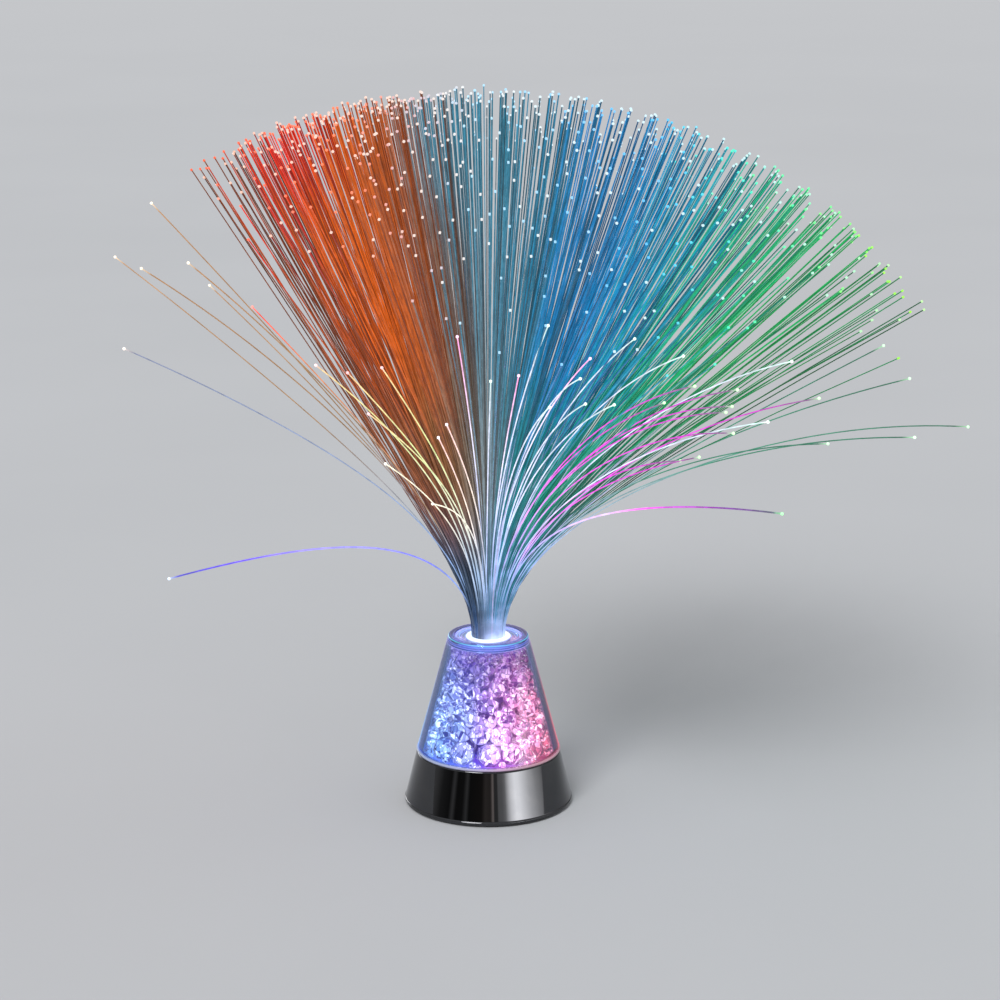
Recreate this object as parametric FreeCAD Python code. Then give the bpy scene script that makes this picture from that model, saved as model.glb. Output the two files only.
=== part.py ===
import FreeCAD, Part
import math
import os

# Fibre optic table lamp, battery powered. Millimetres, +Z up, front towards -Y.
# The origin is on the table, under the lamp's axis.

V = FreeCAD.Vector
UP = V(0, 0, 1)

# ---- driving dimensions ----
base_radius = 39.0        # chrome band at its bottom edge
rim_radius = 33.3         # chrome band at its top edge
rim_height = 24.5
cone_top_radius = 18.44   # clear cone at its mouth
cone_top = 80.1
cone_inner_foot = 30.0      # inside of the cone's wall at its foot
cone_inner_top = 17.5       # inside of the cone's wall under the cap's ledge
seal_height = 1.2
cone_foot = rim_height + seal_height
fibre_length = 254.0      # free length of a fibre above the sleeve
fibre_count = 240         # one fibre in four of the real bundle
bundle_radius = 7.9

# ---- base: heights of its floors and shelves ----
cover_bottom = 0.8
cover_top = 2.8
ring_bottom = 0.5
shelf_bottom = 20.6
shelf_top = 22.4
plate_top = 24.2          # top of the light plate, where the crystals lie
board_bottom = 16.6
board_top = 18.2
cap_seat = 77.1           # ledge inside the cone's mouth
sleeve_bottom = 27.0
sleeve_top = 79.8
sleeve_radius = 9.05
tuft_floor = 76.8         # top of the potted core
tuft_top = 79.4           # where the fibres leave the potting

# ---- cells and their bay ----
cell_radius = 5.1
cell_length = 43.5
nub_length = 1.0
cell_pitch = 10.6
cell_height = 7.9         # axis of the cells
bay_half_x = 25.25
bay_half_y = 16.35
bay_wall = 1.4
bay_top = 13.6
plate_gauge = 0.4
lead_radius = 0.5
blade_top = 10.6          # tips of the switch's solder blades

# ---- places of the fasteners ----
tower_radius_place = 29.5
tower_angles = (52, 128, 232, 308)
post_radius_place = 24.0
post_angles = (0, 120, 240)
door_screw_x = 28.6
switch_y = 25.5
switch_travel = 2.4


# ---- small helpers ----
def turned(points):
    """Solid of revolution about Z from (radius, height) corners."""
    corners = [V(radius, 0, height) for radius, height in points]
    face = Part.Face(Part.makePolygon(corners + corners[:1]))
    return face.revolve(V(0, 0, 0), UP, 360)


def tube(outer, inner, low, high):
    return turned([(inner, low), (outer, low), (outer, high), (inner, high)])


def rod(radius, low, high, x=0.0, y=0.0):
    return Part.makeCylinder(radius, high - low, V(x, y, low))


def block(x0, x1, y0, y1, z0, z1):
    return Part.makeBox(x1 - x0, y1 - y0, z1 - z0, V(x0, y0, z0))


def around(shape, angles):
    """Copies of a shape turned about Z to each angle, in degrees."""
    copies = []
    for angle in angles:
        copy = shape.copy()
        copy.rotate(V(0, 0, 0), UP, angle)
        copies.append(copy)
    return copies


def solid_from(points, faces):
    """Closed solid from corner points and lists of corner numbers."""
    sheets = []
    for face in faces:
        loop = [points[k] for k in face]
        sheets.append(Part.Face(Part.makePolygon(loop + loop[:1])))
    shell = Part.Shell(sheets)
    shell.sewShape()
    solid = Part.Solid(shell)
    if solid.Volume < 0:
        solid.reverse()
    return solid


def save(name, *solids):
    shape = solids[0] if len(solids) == 1 else Part.makeCompound(list(solids))
    good = shape.isValid() and all(solid.Volume > 0 for solid in shape.Solids)
    shape.exportStep("parts/" + name + ".step")
    print(name, len(shape.Solids), "solids", round(shape.Volume, 1), "mm3", "" if good else "INVALID")


def noise(number, salt):
    """Repeatable value from 0 to 1 for a whole number."""
    wave = math.sin(number * 12.9898 + salt * 78.233) * 43758.5453
    return wave - math.floor(wave)


# ---- chrome band, seal and foot ----
def make_base_ring():
    """Conical band with a bottom lip, an inner shelf, screw bosses and board posts."""
    lip = 1.2
    cover_seat = 35.7
    shelf_wall = 32.2
    shelf_bore = 21.5
    spigot_wall = 31.3
    ring = turned([
        (36.9, ring_bottom), (base_radius, ring_bottom), (base_radius, ring_bottom + lip),
        (base_radius - 0.35, ring_bottom + lip + 0.35), (rim_radius, rim_height - 0.4),
        (rim_radius - 0.4, rim_height), (spigot_wall, rim_height), (spigot_wall, shelf_top),
        (shelf_bore, shelf_top), (shelf_bore, shelf_bottom), (shelf_wall, shelf_bottom),
        (cover_seat, cover_top), (36.9, cover_top)])
    boss = rod(3.0, 5.0, shelf_bottom + 0.5, tower_radius_place)
    web = block(tower_radius_place + 2.5, 33.6, -0.6, 0.6, 9.0, shelf_bottom + 0.5)
    pilot = rod(1.35, 5.0, 16.5, tower_radius_place)
    post = rod(2.0, board_top, shelf_bottom + 0.5, post_radius_place)
    post_pilot = rod(1.0, board_top, 21.2, post_radius_place)
    ring = ring.fuse(around(boss, tower_angles) + around(web, tower_angles) + around(post, post_angles))
    return ring.cut(around(pilot, tower_angles) + around(post_pilot, post_angles))


def make_rim_seal():
    """Soft ring with a crowned outer face, between the band and the clear cone."""
    crown = 33.5
    bevel = 0.35
    return turned([(31.1, rim_height), (crown - bevel, rim_height), (crown, rim_height + bevel),
                   (crown, cone_foot - bevel), (crown - bevel, cone_foot), (31.1, cone_foot)])


def make_foot_ring():
    """Rubber ring in the groove of the cover; the lamp stands on it."""
    bevel = 0.4
    return turned([(33.1, bevel), (33.1 + bevel, 0.0), (35.6 - bevel, 0.0), (35.6, bevel), (35.6, 1.8),
                   (33.1, 1.8)])


# ---- bottom cover and door ----
def door_outline(grow, low, high):
    """Door plate with a round ear at each end, larger all round by grow."""
    plate = block(-26.4 - grow, 26.4 + grow, -17.5 - grow, 17.5 + grow, low, high)
    upright = [e for e in plate.Edges if abs(e.Vertexes[0].Z - e.Vertexes[1].Z) > 0.1]
    plate = plate.makeFillet(2.0 + grow, upright)
    ears = [rod(2.9 + grow, low, high, side * door_screw_x) for side in (-1, 1)]
    neck = block(-door_screw_x, door_screw_x, -2.9 - grow, 2.9 + grow, low, high)
    return plate.fuse(ears + [neck]).removeSplitter()


def make_bottom_cover():
    """Round cover with the battery bay, screw towers, door bosses and switch slot."""
    tower_top = 5.0
    head_seat = 3.4
    bay_roof = bay_top + 1.2
    cover = rod(36.6, cover_bottom, cover_top)
    rim = tube(35.0, 34.0, cover_top - 0.2, 5.2)
    bay = block(-bay_half_x - bay_wall, bay_half_x + bay_wall, -bay_half_y - bay_wall, bay_half_y + bay_wall,
                cover_top - 0.2, bay_roof)
    tower = rod(3.9, cover_top - 0.2, tower_top, tower_radius_place)
    rib = block(tower_radius_place + 3.5, 34.4, -0.6, 0.6, cover_top - 0.2, tower_top)
    door_boss = rod(2.4, cover_top - 0.2, 9.0, door_screw_x)
    cheek = block(6.2, 7.4, switch_y - 3.2, switch_y + 3.2, cover_top - 0.2, 7.0)
    other_cheek = block(-7.4, -6.2, switch_y - 3.2, switch_y + 3.2, cover_top - 0.2, 7.0)
    cover = cover.fuse([rim, bay, cheek, other_cheek] + around(tower, tower_angles) + around(rib, tower_angles)
                       + around(door_boss, (0, 180)))
    hollow = block(-bay_half_x, bay_half_x, -bay_half_y, bay_half_y, 0.0, bay_top)
    cradles = [rod_along_x(cell_radius + 0.4, row * cell_pitch) for row in (-1, 0, 1)]
    groove = tube(35.7, 33.0, 0.0, 1.8)
    head_hole = rod(2.9, 0.0, head_seat, tower_radius_place)
    shank_hole = rod(1.6, 0.0, tower_top + 0.1, tower_radius_place)
    door_pilot = rod(1.0, 0.0, 7.8, door_screw_x)
    slot = block(-3.3, 3.3, switch_y - 2.1, switch_y + 2.1, 0.0, cover_top + 0.1)
    dish = Part.makeCone(6.6, 5.2, 0.7, V(0, switch_y, cover_bottom))
    tab_slots = [block(side * 25.05 - 0.3, side * 25.05 + 0.3, side * cell_pitch - 1.4,
                       side * cell_pitch + 1.4, bay_top - 0.1, bay_roof + 0.1) for side in (-1, 1)]
    vents = [block(-16.0, 16.0, row * cell_pitch - 0.6, row * cell_pitch + 0.6, bay_top - 0.1,
                   bay_roof + 0.1) for row in (-1, 0, 1)]
    cover = cover.cut([hollow, groove, slot, dish, door_outline(0.25, 0.0, 2.4)] + tab_slots + vents
                      + around(head_hole, tower_angles) + around(shank_hole, tower_angles)
                      + around(door_pilot, (0, 180)))
    ribs = []
    for row in (-0.5, 0.5):
        for x in (-12.0, 12.0):
            ribs.append(block(x - 0.6, x + 0.6, row * cell_pitch - 2.6, row * cell_pitch + 2.6,
                              cell_height + 2.4, bay_top + 0.2))
    saddles = Part.makeCompound(ribs).cut(cradles)
    return cover.fuse(saddles.Solids)


def rod_along_x(radius, y):
    return Part.makeCylinder(radius, 60.0, V(-30.0, y, cell_height), V(1, 0, 0))


def make_battery_door():
    """Flat door with two screw ears, grip grooves outside and stiffening ribs inside."""
    door = door_outline(0.0, cover_bottom, 2.3)
    heads = [rod(2.1, 0.0, cover_bottom + 0.75, side * door_screw_x) for side in (-1, 1)]
    holes = [rod(1.1, 0.0, 3.0, side * door_screw_x) for side in (-1, 1)]
    grips = [block(-7.0, 7.0, y - 0.4, y + 0.4, 0.0, cover_bottom + 0.4) for y in (-3.0, -1.0, 1.0, 3.0)]
    return door.cut(heads + holes + grips)


def make_screw(head_radius, head_low, head_high, shank_radius, shank_top):
    """Screw on the Z axis, head down, with a straight driver slot."""
    screw = turned([(0, head_low), (head_radius, head_low), (head_radius, head_high),
                    (shank_radius, head_high), (shank_radius, shank_top), (0, shank_top)])
    slot = block(-head_radius, head_radius, -0.25, 0.25, head_low - 0.1, head_low + 0.4)
    return screw.cut(slot)


def placed_screws(screw, radius, angles):
    screw.translate(V(radius, 0, 0))
    return around(screw, angles)


# ---- cells and contacts ----
def make_cell(row, turned_round):
    """Cell along X; the nub points to +X, or to -X when turned round."""
    y = row * cell_pitch
    can = Part.makeCylinder(cell_radius, cell_length, V(0, y, cell_height), V(1, 0, 0))
    nub = Part.makeCylinder(1.9, nub_length, V(cell_length, y, cell_height), V(1, 0, 0))
    groove = Part.makeCylinder(cell_radius + 1, 0.5, V(cell_length - 1.4, y, cell_height), V(1, 0, 0))
    groove = groove.cut(Part.makeCylinder(cell_radius - 0.25, 0.5, V(cell_length - 1.4, y, cell_height),
                                          V(1, 0, 0)))
    cell = can.fuse(nub).cut(groove)
    cell.translate(V(bay_half_x - plate_gauge - 0.8 - nub_length - cell_length, 0, 0))
    if turned_round:
        cell.rotate(V(0, y, 0), UP, 180)
    return cell


def make_contact_plates():
    """Four sprung-steel plates: two single ones with solder tabs and two that join neighbours."""
    plates = []
    for side in (-1, 1):
        wall = side * (bay_half_x - plate_gauge / 2)
        x0 = wall - plate_gauge / 2
        x1 = wall + plate_gauge / 2
        single_y = side * cell_pitch
        single = block(x0, x1, single_y - 4.2, single_y + 4.2, 3.4, 12.6)
        tab = block(x0, x1, single_y - 1.1, single_y + 1.1, 12.4, 15.6)
        pair = block(x0, x1, -side * 5.3 - 9.4, -side * 5.3 + 9.4, 3.4, 12.6)
        waist = block(x0 - 1, x1 + 1, -side * 5.3 - 0.8, -side * 5.3 + 0.8, 8.0, 13.0)
        plates.append(single.fuse(tab))
        plates.append(pair.cut(waist))
    dimples = []
    for row, side in ((1, 1), (0, -1), (-1, 1)):
        x = side * (bay_half_x - plate_gauge)
        dimples.append(Part.makeCone(2.2, 1.4, 0.8, V(x + side * 0.05, row * cell_pitch, cell_height),
                                     V(-side, 0, 0)))
    joined = []
    for plate in plates:
        near = [d for d in dimples if d.distToShape(plate)[0] < 0.01]
        joined.append(plate.fuse(near) if near else plate)
    return joined


def make_spring(row, side):
    """Coil between an end plate and the flat end of a cell, of three-sided wire."""
    turns = 3.5
    steps = 32
    wire = 0.32
    length = 2 * bay_half_x - 2 * plate_gauge - 0.8 - nub_length - cell_length - 0.1
    points = []
    for k in range(steps + 1):
        share = k / steps
        angle = share * turns * 2 * math.pi
        radius = 3.6 - 1.4 * share
        x = wire + share * (length - 2 * wire)
        for corner in range(3):
            spoke = corner * 2 * math.pi / 3 + math.pi / 3
            r = radius + wire * math.cos(spoke)
            points.append(V(side * (bay_half_x - plate_gauge - x - wire * math.sin(spoke)),
                            row * cell_pitch + r * math.cos(angle), cell_height + r * math.sin(angle)))
    return solid_from(points, strip_faces(steps, 3))


def strip_faces(steps, corners):
    """Triangles for a closed strip of equal polygons, with its two end caps."""
    faces = [list(range(corners)), [steps * corners + k for k in range(corners)]]
    for k in range(steps):
        for corner in range(corners):
            a = k * corners + corner
            b = k * corners + (corner + 1) % corners
            faces.append([a, b, b + corners])
            faces.append([a, b + corners, a + corners])
    return faces


# ---- switch ----
def make_switch_body():
    body = block(-6.0, 6.0, switch_y - 3.0, switch_y + 3.0, cover_top, 7.8)
    pocket = block(-2.7, 2.7, switch_y - 1.4, switch_y + 1.4, cover_top - 0.1, 4.7)
    blades = [block(x - 0.6, x + 0.6, switch_y - 0.2, switch_y + 0.2, 7.6, blade_top) for x in (-4.0, 0.0, 4.0)]
    return body.cut(pocket).fuse(blades)


def make_switch_knob():
    """Ribbed knob that reaches through the cover's slot into the switch."""
    x = -switch_travel / 2
    head = block(x - 1.8, x + 1.8, switch_y - 1.8, switch_y + 1.8, 0.3, 2.6)
    stem = block(x - 1.2, x + 1.2, switch_y - 1.1, switch_y + 1.1, 2.5, 4.4)
    grooves = [block(x + k - 0.25, x + k + 0.25, switch_y - 2, switch_y + 2, 0.2, 0.7) for k in (-1.0, 0.0, 1.0)]
    return head.fuse(stem).cut(grooves)


# ---- electronics ----
def make_led_board():
    board = rod(26.4, board_bottom, board_top)
    hole = rod(1.1, board_bottom - 0.1, board_top + 0.1, post_radius_place)
    notch = rod(3.4, board_bottom - 0.1, board_top + 0.1, tower_radius_place)
    return board.cut(around(hole, post_angles) + around(notch, tower_angles))


def make_centre_led(angle):
    """Domed LED with a flange, standing on the board."""
    led = turned([(0, board_top), (2.7, board_top), (2.7, board_top + 0.9), (2.3, board_top + 0.9),
                  (2.3, board_top + 4.2), (1.5, board_top + 5.4), (0, board_top + 5.8)])
    led.translate(V(3.3, 0, 0))
    return around(led, (angle,))[0]


def make_ring_led(angle):
    """Flat square LED with a round window."""
    led = block(15.0, 20.0, -2.5, 2.5, board_top, board_top + 1.6)
    window = rod(1.9, board_top + 1.2, board_top + 2.0, 17.5)
    return around(led.cut(window), (angle,))[0]


def make_chip():
    body = block(8.0, 12.0, -2.5, 2.5, board_top, board_top + 1.5)
    legs = []
    for k in range(4):
        y = -1.95 + 1.3 * k
        legs.append(block(7.0, 8.1, y - 0.2, y + 0.2, board_top, board_top + 0.4))
        legs.append(block(11.9, 13.0, y - 0.2, y + 0.2, board_top, board_top + 0.4))
    return around(body.fuse(legs), (30,))[0]


def make_resistor(angle):
    return around(block(9.4, 11.0, -1.6, 1.6, board_top, board_top + 0.6), (angle,))[0]


def make_lead(points):
    """Insulated wire of straight runs with mitred corners."""
    section = Part.Wire(Part.makeCircle(lead_radius, points[0], points[1] - points[0]))
    right_corners = 1
    return Part.makePolygon(points).makePipeShell([section], True, False, right_corners)


# ---- light plate, tube, cone and cap ----
def make_light_plate():
    """Clear plate with a low collar that centres the tube."""
    return turned([(7.4, shelf_top), (29.6, shelf_top), (29.6, plate_top), (8.9, plate_top),
                   (8.9, plate_top + 1.2), (7.4, plate_top + 1.2)])


def make_clear_cone():
    """Thick conical vessel with a foot spigot and an inner ledge for the cap."""
    mouth = 15.5
    ledge = 14.4
    bevel = 0.45
    return turned([
        (cone_inner_foot, shelf_top), (31.0, shelf_top), (31.0, cone_foot), (33.0, cone_foot),
        (cone_top_radius + 0.1, cone_top - bevel), (cone_top_radius - bevel, cone_top),
        (mouth, cone_top), (mouth, cap_seat), (ledge, cap_seat),
        (ledge, cap_seat - 1.4), (cone_inner_top, cap_seat - 2.6), (cone_inner_foot, cone_foot)])


def make_top_cap():
    """Stepped clear ring that closes the cone and carries the sleeve's flange."""
    return turned([(9.25, cap_seat), (15.35, cap_seat), (15.35, 79.6), (13.6, 79.6), (13.3, 79.3),
                   (13.3, 78.9), (10.7, 78.9), (10.7, 78.6), (9.25, 78.6)])


def make_spray_sleeve():
    """Sleeve that grips the fibre bundle, with the glowing flange on top."""
    flange = 10.4
    bevel = 0.5
    return turned([(8.0, sleeve_bottom), (sleeve_radius - 0.4, sleeve_bottom),
                   (sleeve_radius, sleeve_bottom + 0.6), (sleeve_radius, 78.6), (flange, 78.6),
                   (flange, sleeve_top - bevel), (flange - bevel, sleeve_top), (8.0, sleeve_top)])


# ---- crystals ----
def cone_inner(height):
    """Inner radius of the clear cone at a height, above its foot."""
    share = (height - cone_foot) / (cap_seat - 2.6 - cone_foot)
    return cone_inner_foot + (cone_inner_top - cone_inner_foot) * share


def crystal_places():
    """Drop round envelopes one by one, each to the lowest place where it comes to rest."""
    tube_radius = 10.4
    slope = math.cos(math.atan(0.28))
    placed = []
    misses = 0
    number = 0
    level = plate_top
    while misses < 12:
        number += 1
        fill = (level - plate_top) / (cap_seat - plate_top)
        radius = (5.6 - 2.6 * fill + 1.3 * (noise(number, 1) - 0.5)) * (1 - 0.03 * misses)
        best = None
        for k in range(48):
            angle = 2 * math.pi * (k + noise(number, 2)) / 48
            for ring in range(8):
                low = tube_radius + radius + 0.1
                high = cone_inner(plate_top + radius) - radius / slope - 0.1
                reach = low + (high - low) * ring / 7
                x = reach * math.cos(angle)
                y = reach * math.sin(angle)
                rest = plate_top + radius + 0.02
                for px, py, pz, other in placed:
                    gap = math.hypot(px - x, py - y)
                    touch = radius + other + 0.02
                    if gap < touch:
                        rest = max(rest, pz + math.sqrt(touch * touch - gap * gap))
                fits = reach + radius / slope + 0.05 < cone_inner(rest) and rest + radius < cap_seat - 2.7
                if fits and (best is None or rest < best[2]):
                    best = (x, y, rest, radius)
        if best is None:
            misses += 1
        else:
            placed.append(best)
            level = best[2]
    return placed


def make_crystal(number, x, y, z, radius):
    """Faceted chunk: two flat tables and two belts of six corners, all on the envelope."""
    sides = 6
    points = []
    for belt, height in enumerate((0.82, 0.27, -0.33, -0.84)):
        spread = math.sqrt(1 - height * height)
        for k in range(sides):
            angle = 2 * math.pi * (k + 0.5 * belt) / sides
            points.append(V(spread * math.cos(angle), spread * math.sin(angle), height) * radius)
    faces = [list(range(sides)), list(range(3 * sides, 4 * sides))]
    for belt in range(3):
        for k in range(sides):
            low = belt * sides + k
            low_next = belt * sides + (k + 1) % sides
            faces.append([low, low_next, low + sides])
            faces.append([low_next, low + sides, low_next + sides])
    crystal = solid_from(points, faces)
    crystal.rotate(V(0, 0, 0), V(1, 0, 0), 360 * noise(number, 5))
    crystal.rotate(V(0, 0, 0), UP, 360 * noise(number, 6))
    crystal.translate(V(x, y, z))
    return crystal


# ---- fibres ----
fibre_size = 0.34         # centre to corner of the three-sided section


def flare_of(azimuth):
    """Length over which a fibre leans out to its own angle; longer at the front."""
    front = (1 - math.sin(math.radians(azimuth))) / 2
    return 32.0 + 24.0 * front ** 2


def fibre_line(root, azimuth, lean, droop, length, stops):
    """Points of a fibre that leaves upright, flares to its lean and droops towards its tip."""
    steps = 240
    turn = math.radians(azimuth)
    out = V(math.cos(turn), math.sin(turn), 0)
    spot = V(root)
    marks = {round(stop * steps) for stop in stops}
    points = []
    for k in range(steps + 1):
        if k in marks:
            points.append(V(spot))
        along = (k + 0.5) * length / steps
        tilt = math.radians(lean * (1 - math.exp(-along / flare_of(azimuth)))
                            + droop * (along / fibre_length) ** 2)
        spot = spot + (out * math.sin(tilt) + UP * math.cos(tilt)) * (length / steps)
    return points


def make_fibre(points, azimuth, sunk):
    """Three-sided rod along the points, with its foot sunk straight down."""
    turn = math.radians(azimuth)
    across = V(-math.sin(turn), math.cos(turn), 0)
    line = [points[0] - UP * sunk, points[0] + UP * 0.3] + points[1:]
    corners = []
    for k, point in enumerate(line):
        before = line[max(k - 1, 0)]
        after = line[min(k + 1, len(line) - 1)]
        if k <= 1:
            along = UP
        else:
            along = (after - point).normalize() if k < len(line) - 1 else (point - before).normalize()
            along = (along + (point - before).normalize()).normalize()
        inward = along.cross(across)
        for corner in range(3):
            spoke = math.radians(90 + 120 * corner)
            corners.append(point + (across * math.cos(spoke) + inward * math.sin(spoke)) * fibre_size)
    return solid_from(corners, strip_faces(len(line) - 1, 3))


def fibre_rule(number):
    """Share of the way out (0 to 1), azimuth and lean of one fibre of the bundle."""
    share = math.sqrt((number + 0.5) / fibre_count)
    azimuth = (number * 137.508) % 360
    turn = math.radians(azimuth)
    right = 0.5 + 0.5 * math.cos(turn)
    left_front = max(math.cos(turn - math.radians(212)), 0) ** 6      # where the bundle leans out less
    dense = 27.0 + 16.5 * right + 2.5 * max(-math.sin(turn), 0) - 5.5 * left_front
    clump = 1 + 0.05 * math.sin(5 * turn + 2) + 0.03 * math.sin(11 * turn + 0.7)
    mean_tilt = clump * (dense * share ** 0.9 + 5.5 * share ** 14)
    return share, azimuth, mean_tilt / (1 - flare_of(azimuth) / fibre_length)


core_share = 0.45         # share of the way out that the middle tuft takes
core_tuft_radius = 3.2
sector_inner = 3.3
sector_outer = 7.0
sector_count = 8
edge_room = 0.46
given_way = (212, 217, 222, 224, 225, 230, 235, 238)    # left out, because a loose fibre lies there


def sector_of(azimuth):
    return int(azimuth // (360 / sector_count))


def fibre_root(share, azimuth):
    """Foot of a fibre, kept clear of the edges of its tuft's potting."""
    if share < core_share:
        radius = (core_tuft_radius - edge_room) * share / core_share
        return V(radius * math.cos(math.radians(azimuth)), radius * math.sin(math.radians(azimuth)), tuft_top)
    inner = sector_inner + edge_room
    radius = inner + (sector_outer - edge_room - inner) * (share - core_share) / (1 - core_share)
    half = 180 / sector_count
    middle = (sector_of(azimuth) + 0.5) * 2 * half
    room = half - math.degrees(edge_room / radius)
    turn = math.radians(middle + (azimuth - middle) * room / half)
    return V(radius * math.cos(turn), radius * math.sin(turn), tuft_top)


def make_potting(sector):
    """Wedge of resin that holds the feet of one sector's fibres."""
    width = 360 / sector_count
    first = sector * width
    lines = []
    for radius, turns in ((sector_inner, (0.0, 0.5, 1.0)), (sector_outer, (1.0, 0.75, 0.5, 0.25, 0.0))):
        side_gap = math.degrees(0.04 / radius)
        for share in turns:
            turn = math.radians(first + side_gap + (width - 2 * side_gap) * share)
            lines.append(V(radius * math.cos(turn), radius * math.sin(turn), tuft_floor))
    return Part.Face(Part.makePolygon(lines + lines[:1])).extrude(V(0, 0, tuft_top - tuft_floor))


def make_tufts():
    """Middle tuft and one for each sector, every one fused from its potting and its fibres."""
    groups = {"fibre_tuft_middle": [rod(core_tuft_radius, tuft_floor, tuft_top)]}
    for sector in range(sector_count):
        groups["fibre_tuft_%d" % (sector + 1)] = [make_potting(sector)]
    for number in range(fibre_count):
        if number in given_way:
            continue
        share, azimuth, lean = fibre_rule(number)
        length = fibre_length - 4 * noise(number, 3)
        if share < core_share:
            name = "fibre_tuft_middle"
            stops = (0.0, 0.12, 0.35, 1.0)
        else:
            name = "fibre_tuft_%d" % (sector_of(azimuth) + 1)
            stops = (0.0, 0.09, 0.2, 0.42, 1.0)
        points = fibre_line(fibre_root(share, azimuth), azimuth, lean, 0, length, stops)
        groups[name].append(make_fibre(points, azimuth, 0.8))
    tufts = {}
    for name, pieces in groups.items():
        tufts[name] = pieces[0].fuse(pieces[1:])
    return tufts


# loose fibres: azimuth and lean in degrees, droop in degrees over the full length, length in mm
loose_left = (
    (137, 59, 4, 235), (158, 54, 4, 252), (172, 42, 2, 250), (200, 43, 14, 242), (203, 40, 11, 231),
    (219, 45, 0, 211), (220, 58, 5, 254), (225, 89, 5, 206))
loose_front = (
    (250, 58, 5, 256), (251, 67, 0, 170), (254, 61, 0, 256), (256, 58, 0, 236), (257, 65, 2, 256),
    (259, 59, 0, 162), (262, 76, 0, 196), (264, 64, 0, 215), (275, 56, 0, 215), (277, 60, 11, 256),
    (281, 52, 21, 256), (283, 55, 20, 231))
loose_right = (
    (295, 54, 20, 256), (298, 57, 21, 256), (299, 55, 24, 256), (300, 59, 23, 245), (301, 76, 6, 256),
    (302, 66, 12, 204), (306, 58, 43, 179), (321, 62, 25, 224), (325, 64, 19, 256), (336, 60, 13, 245),
    (342, 62, 27, 256), (348, 60, 0, 230))
loose_root_radius = 7.5


def make_loose(fibres, first_root, root_pitch):
    """Single fibres that stand on the core, round the outside of the tufts."""
    solids = []
    for k, (azimuth, lean, droop, length) in enumerate(fibres):
        turn = math.radians(first_root + k * root_pitch)
        root = V(loose_root_radius * math.cos(turn), loose_root_radius * math.sin(turn), tuft_top)
        stops = (0.0, 0.07, 0.16, 0.32, 0.62, 1.0)
        points = fibre_line(root, azimuth, lean, droop, length, stops)
        solids.append(make_fibre(points, azimuth, tuft_top - tuft_floor))
    return solids


# ---- everything, one file for each node ----
os.makedirs("parts", exist_ok=True)

save("base_ring", make_base_ring())
save("rim_seal", make_rim_seal())
save("foot_ring", make_foot_ring())
save("bottom_cover", make_bottom_cover())
save("battery_door", make_battery_door())
save("cover_screws", *placed_screws(make_screw(2.6, 1.6, 3.4, 1.3, 14.0), tower_radius_place, tower_angles))
save("door_screws", *placed_screws(make_screw(1.9, 0.85, 1.55, 0.95, 7.0), door_screw_x, (0, 180)))
save("board_screws", *placed_screws(make_screw(1.8, 15.4, board_bottom, 0.95, 20.8), post_radius_place,
                                    post_angles))
for row, name in ((1, "battery_1"), (0, "battery_2"), (-1, "battery_3")):
    save(name, make_cell(row, row == 0))
save("contact_plates", *make_contact_plates())
save("battery_springs", make_spring(1, -1), make_spring(0, 1), make_spring(-1, -1))
save("switch_body", make_switch_body())
save("switch_knob", make_switch_knob())
save("led_board", make_led_board())
save("centre_leds", *[make_centre_led(angle) for angle in (90, 210, 330)])
save("ring_leds", *[make_ring_led(angle) for angle in range(30, 390, 60)])
save("driver_chip", make_chip())
save("resistors", *[make_resistor(angle) for angle in (95, 150, 210, 270, 325)])
save("red_lead", make_lead([V(24.2, cell_pitch, 15.7), V(15.5, 14.0, 15.7), V(4.0, switch_y, 15.7),
                            V(4.0, switch_y, blade_top)]))
save("black_lead", make_lead([V(-24.2, -cell_pitch, 15.7), V(-18.0, -8.0, 15.7), V(-18.0, -8.0, board_bottom)]))
save("switch_lead", rod(lead_radius, blade_top, board_bottom, 0.0, switch_y))
save("light_plate", make_light_plate())
save("centre_tube", tube(10.4, 9.15, plate_top, cap_seat))
save("clear_cone", make_clear_cone())
save("top_cap", make_top_cap())
save("crystals", *[make_crystal(k, *place) for k, place in enumerate(crystal_places())])
save("spray_sleeve", make_spray_sleeve())
save("bundle_core", rod(bundle_radius, sleeve_bottom - 0.4, tuft_floor))
for name, tuft in make_tufts().items():
    save(name, tuft)
save("loose_fibres_left", *make_loose(loose_left, 137, 11.5))
save("loose_fibres_front", *make_loose(loose_front, 236, 5))
save("loose_fibres_right", *make_loose(loose_right, 297, 5))
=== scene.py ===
import math
import bpy
import numpy as np
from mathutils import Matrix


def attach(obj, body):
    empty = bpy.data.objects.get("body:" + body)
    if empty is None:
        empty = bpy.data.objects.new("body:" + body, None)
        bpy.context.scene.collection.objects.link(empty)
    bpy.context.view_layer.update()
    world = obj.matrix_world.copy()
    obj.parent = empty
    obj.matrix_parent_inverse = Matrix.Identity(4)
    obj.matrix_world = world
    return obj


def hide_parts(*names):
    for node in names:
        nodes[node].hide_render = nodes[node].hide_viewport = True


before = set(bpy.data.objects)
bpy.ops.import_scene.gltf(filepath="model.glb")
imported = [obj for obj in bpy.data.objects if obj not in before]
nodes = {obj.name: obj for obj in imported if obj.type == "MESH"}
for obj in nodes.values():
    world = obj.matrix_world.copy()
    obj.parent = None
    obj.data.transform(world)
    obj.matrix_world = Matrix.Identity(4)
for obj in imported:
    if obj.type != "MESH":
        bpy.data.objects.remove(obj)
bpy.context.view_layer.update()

# Fibre optic table lamp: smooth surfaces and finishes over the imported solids.
# Shapes are worked out in millimetres; newPiece turns them into metres.

scene = bpy.context.scene
print("frame loaded:", len(nodes), "nodes")


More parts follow.
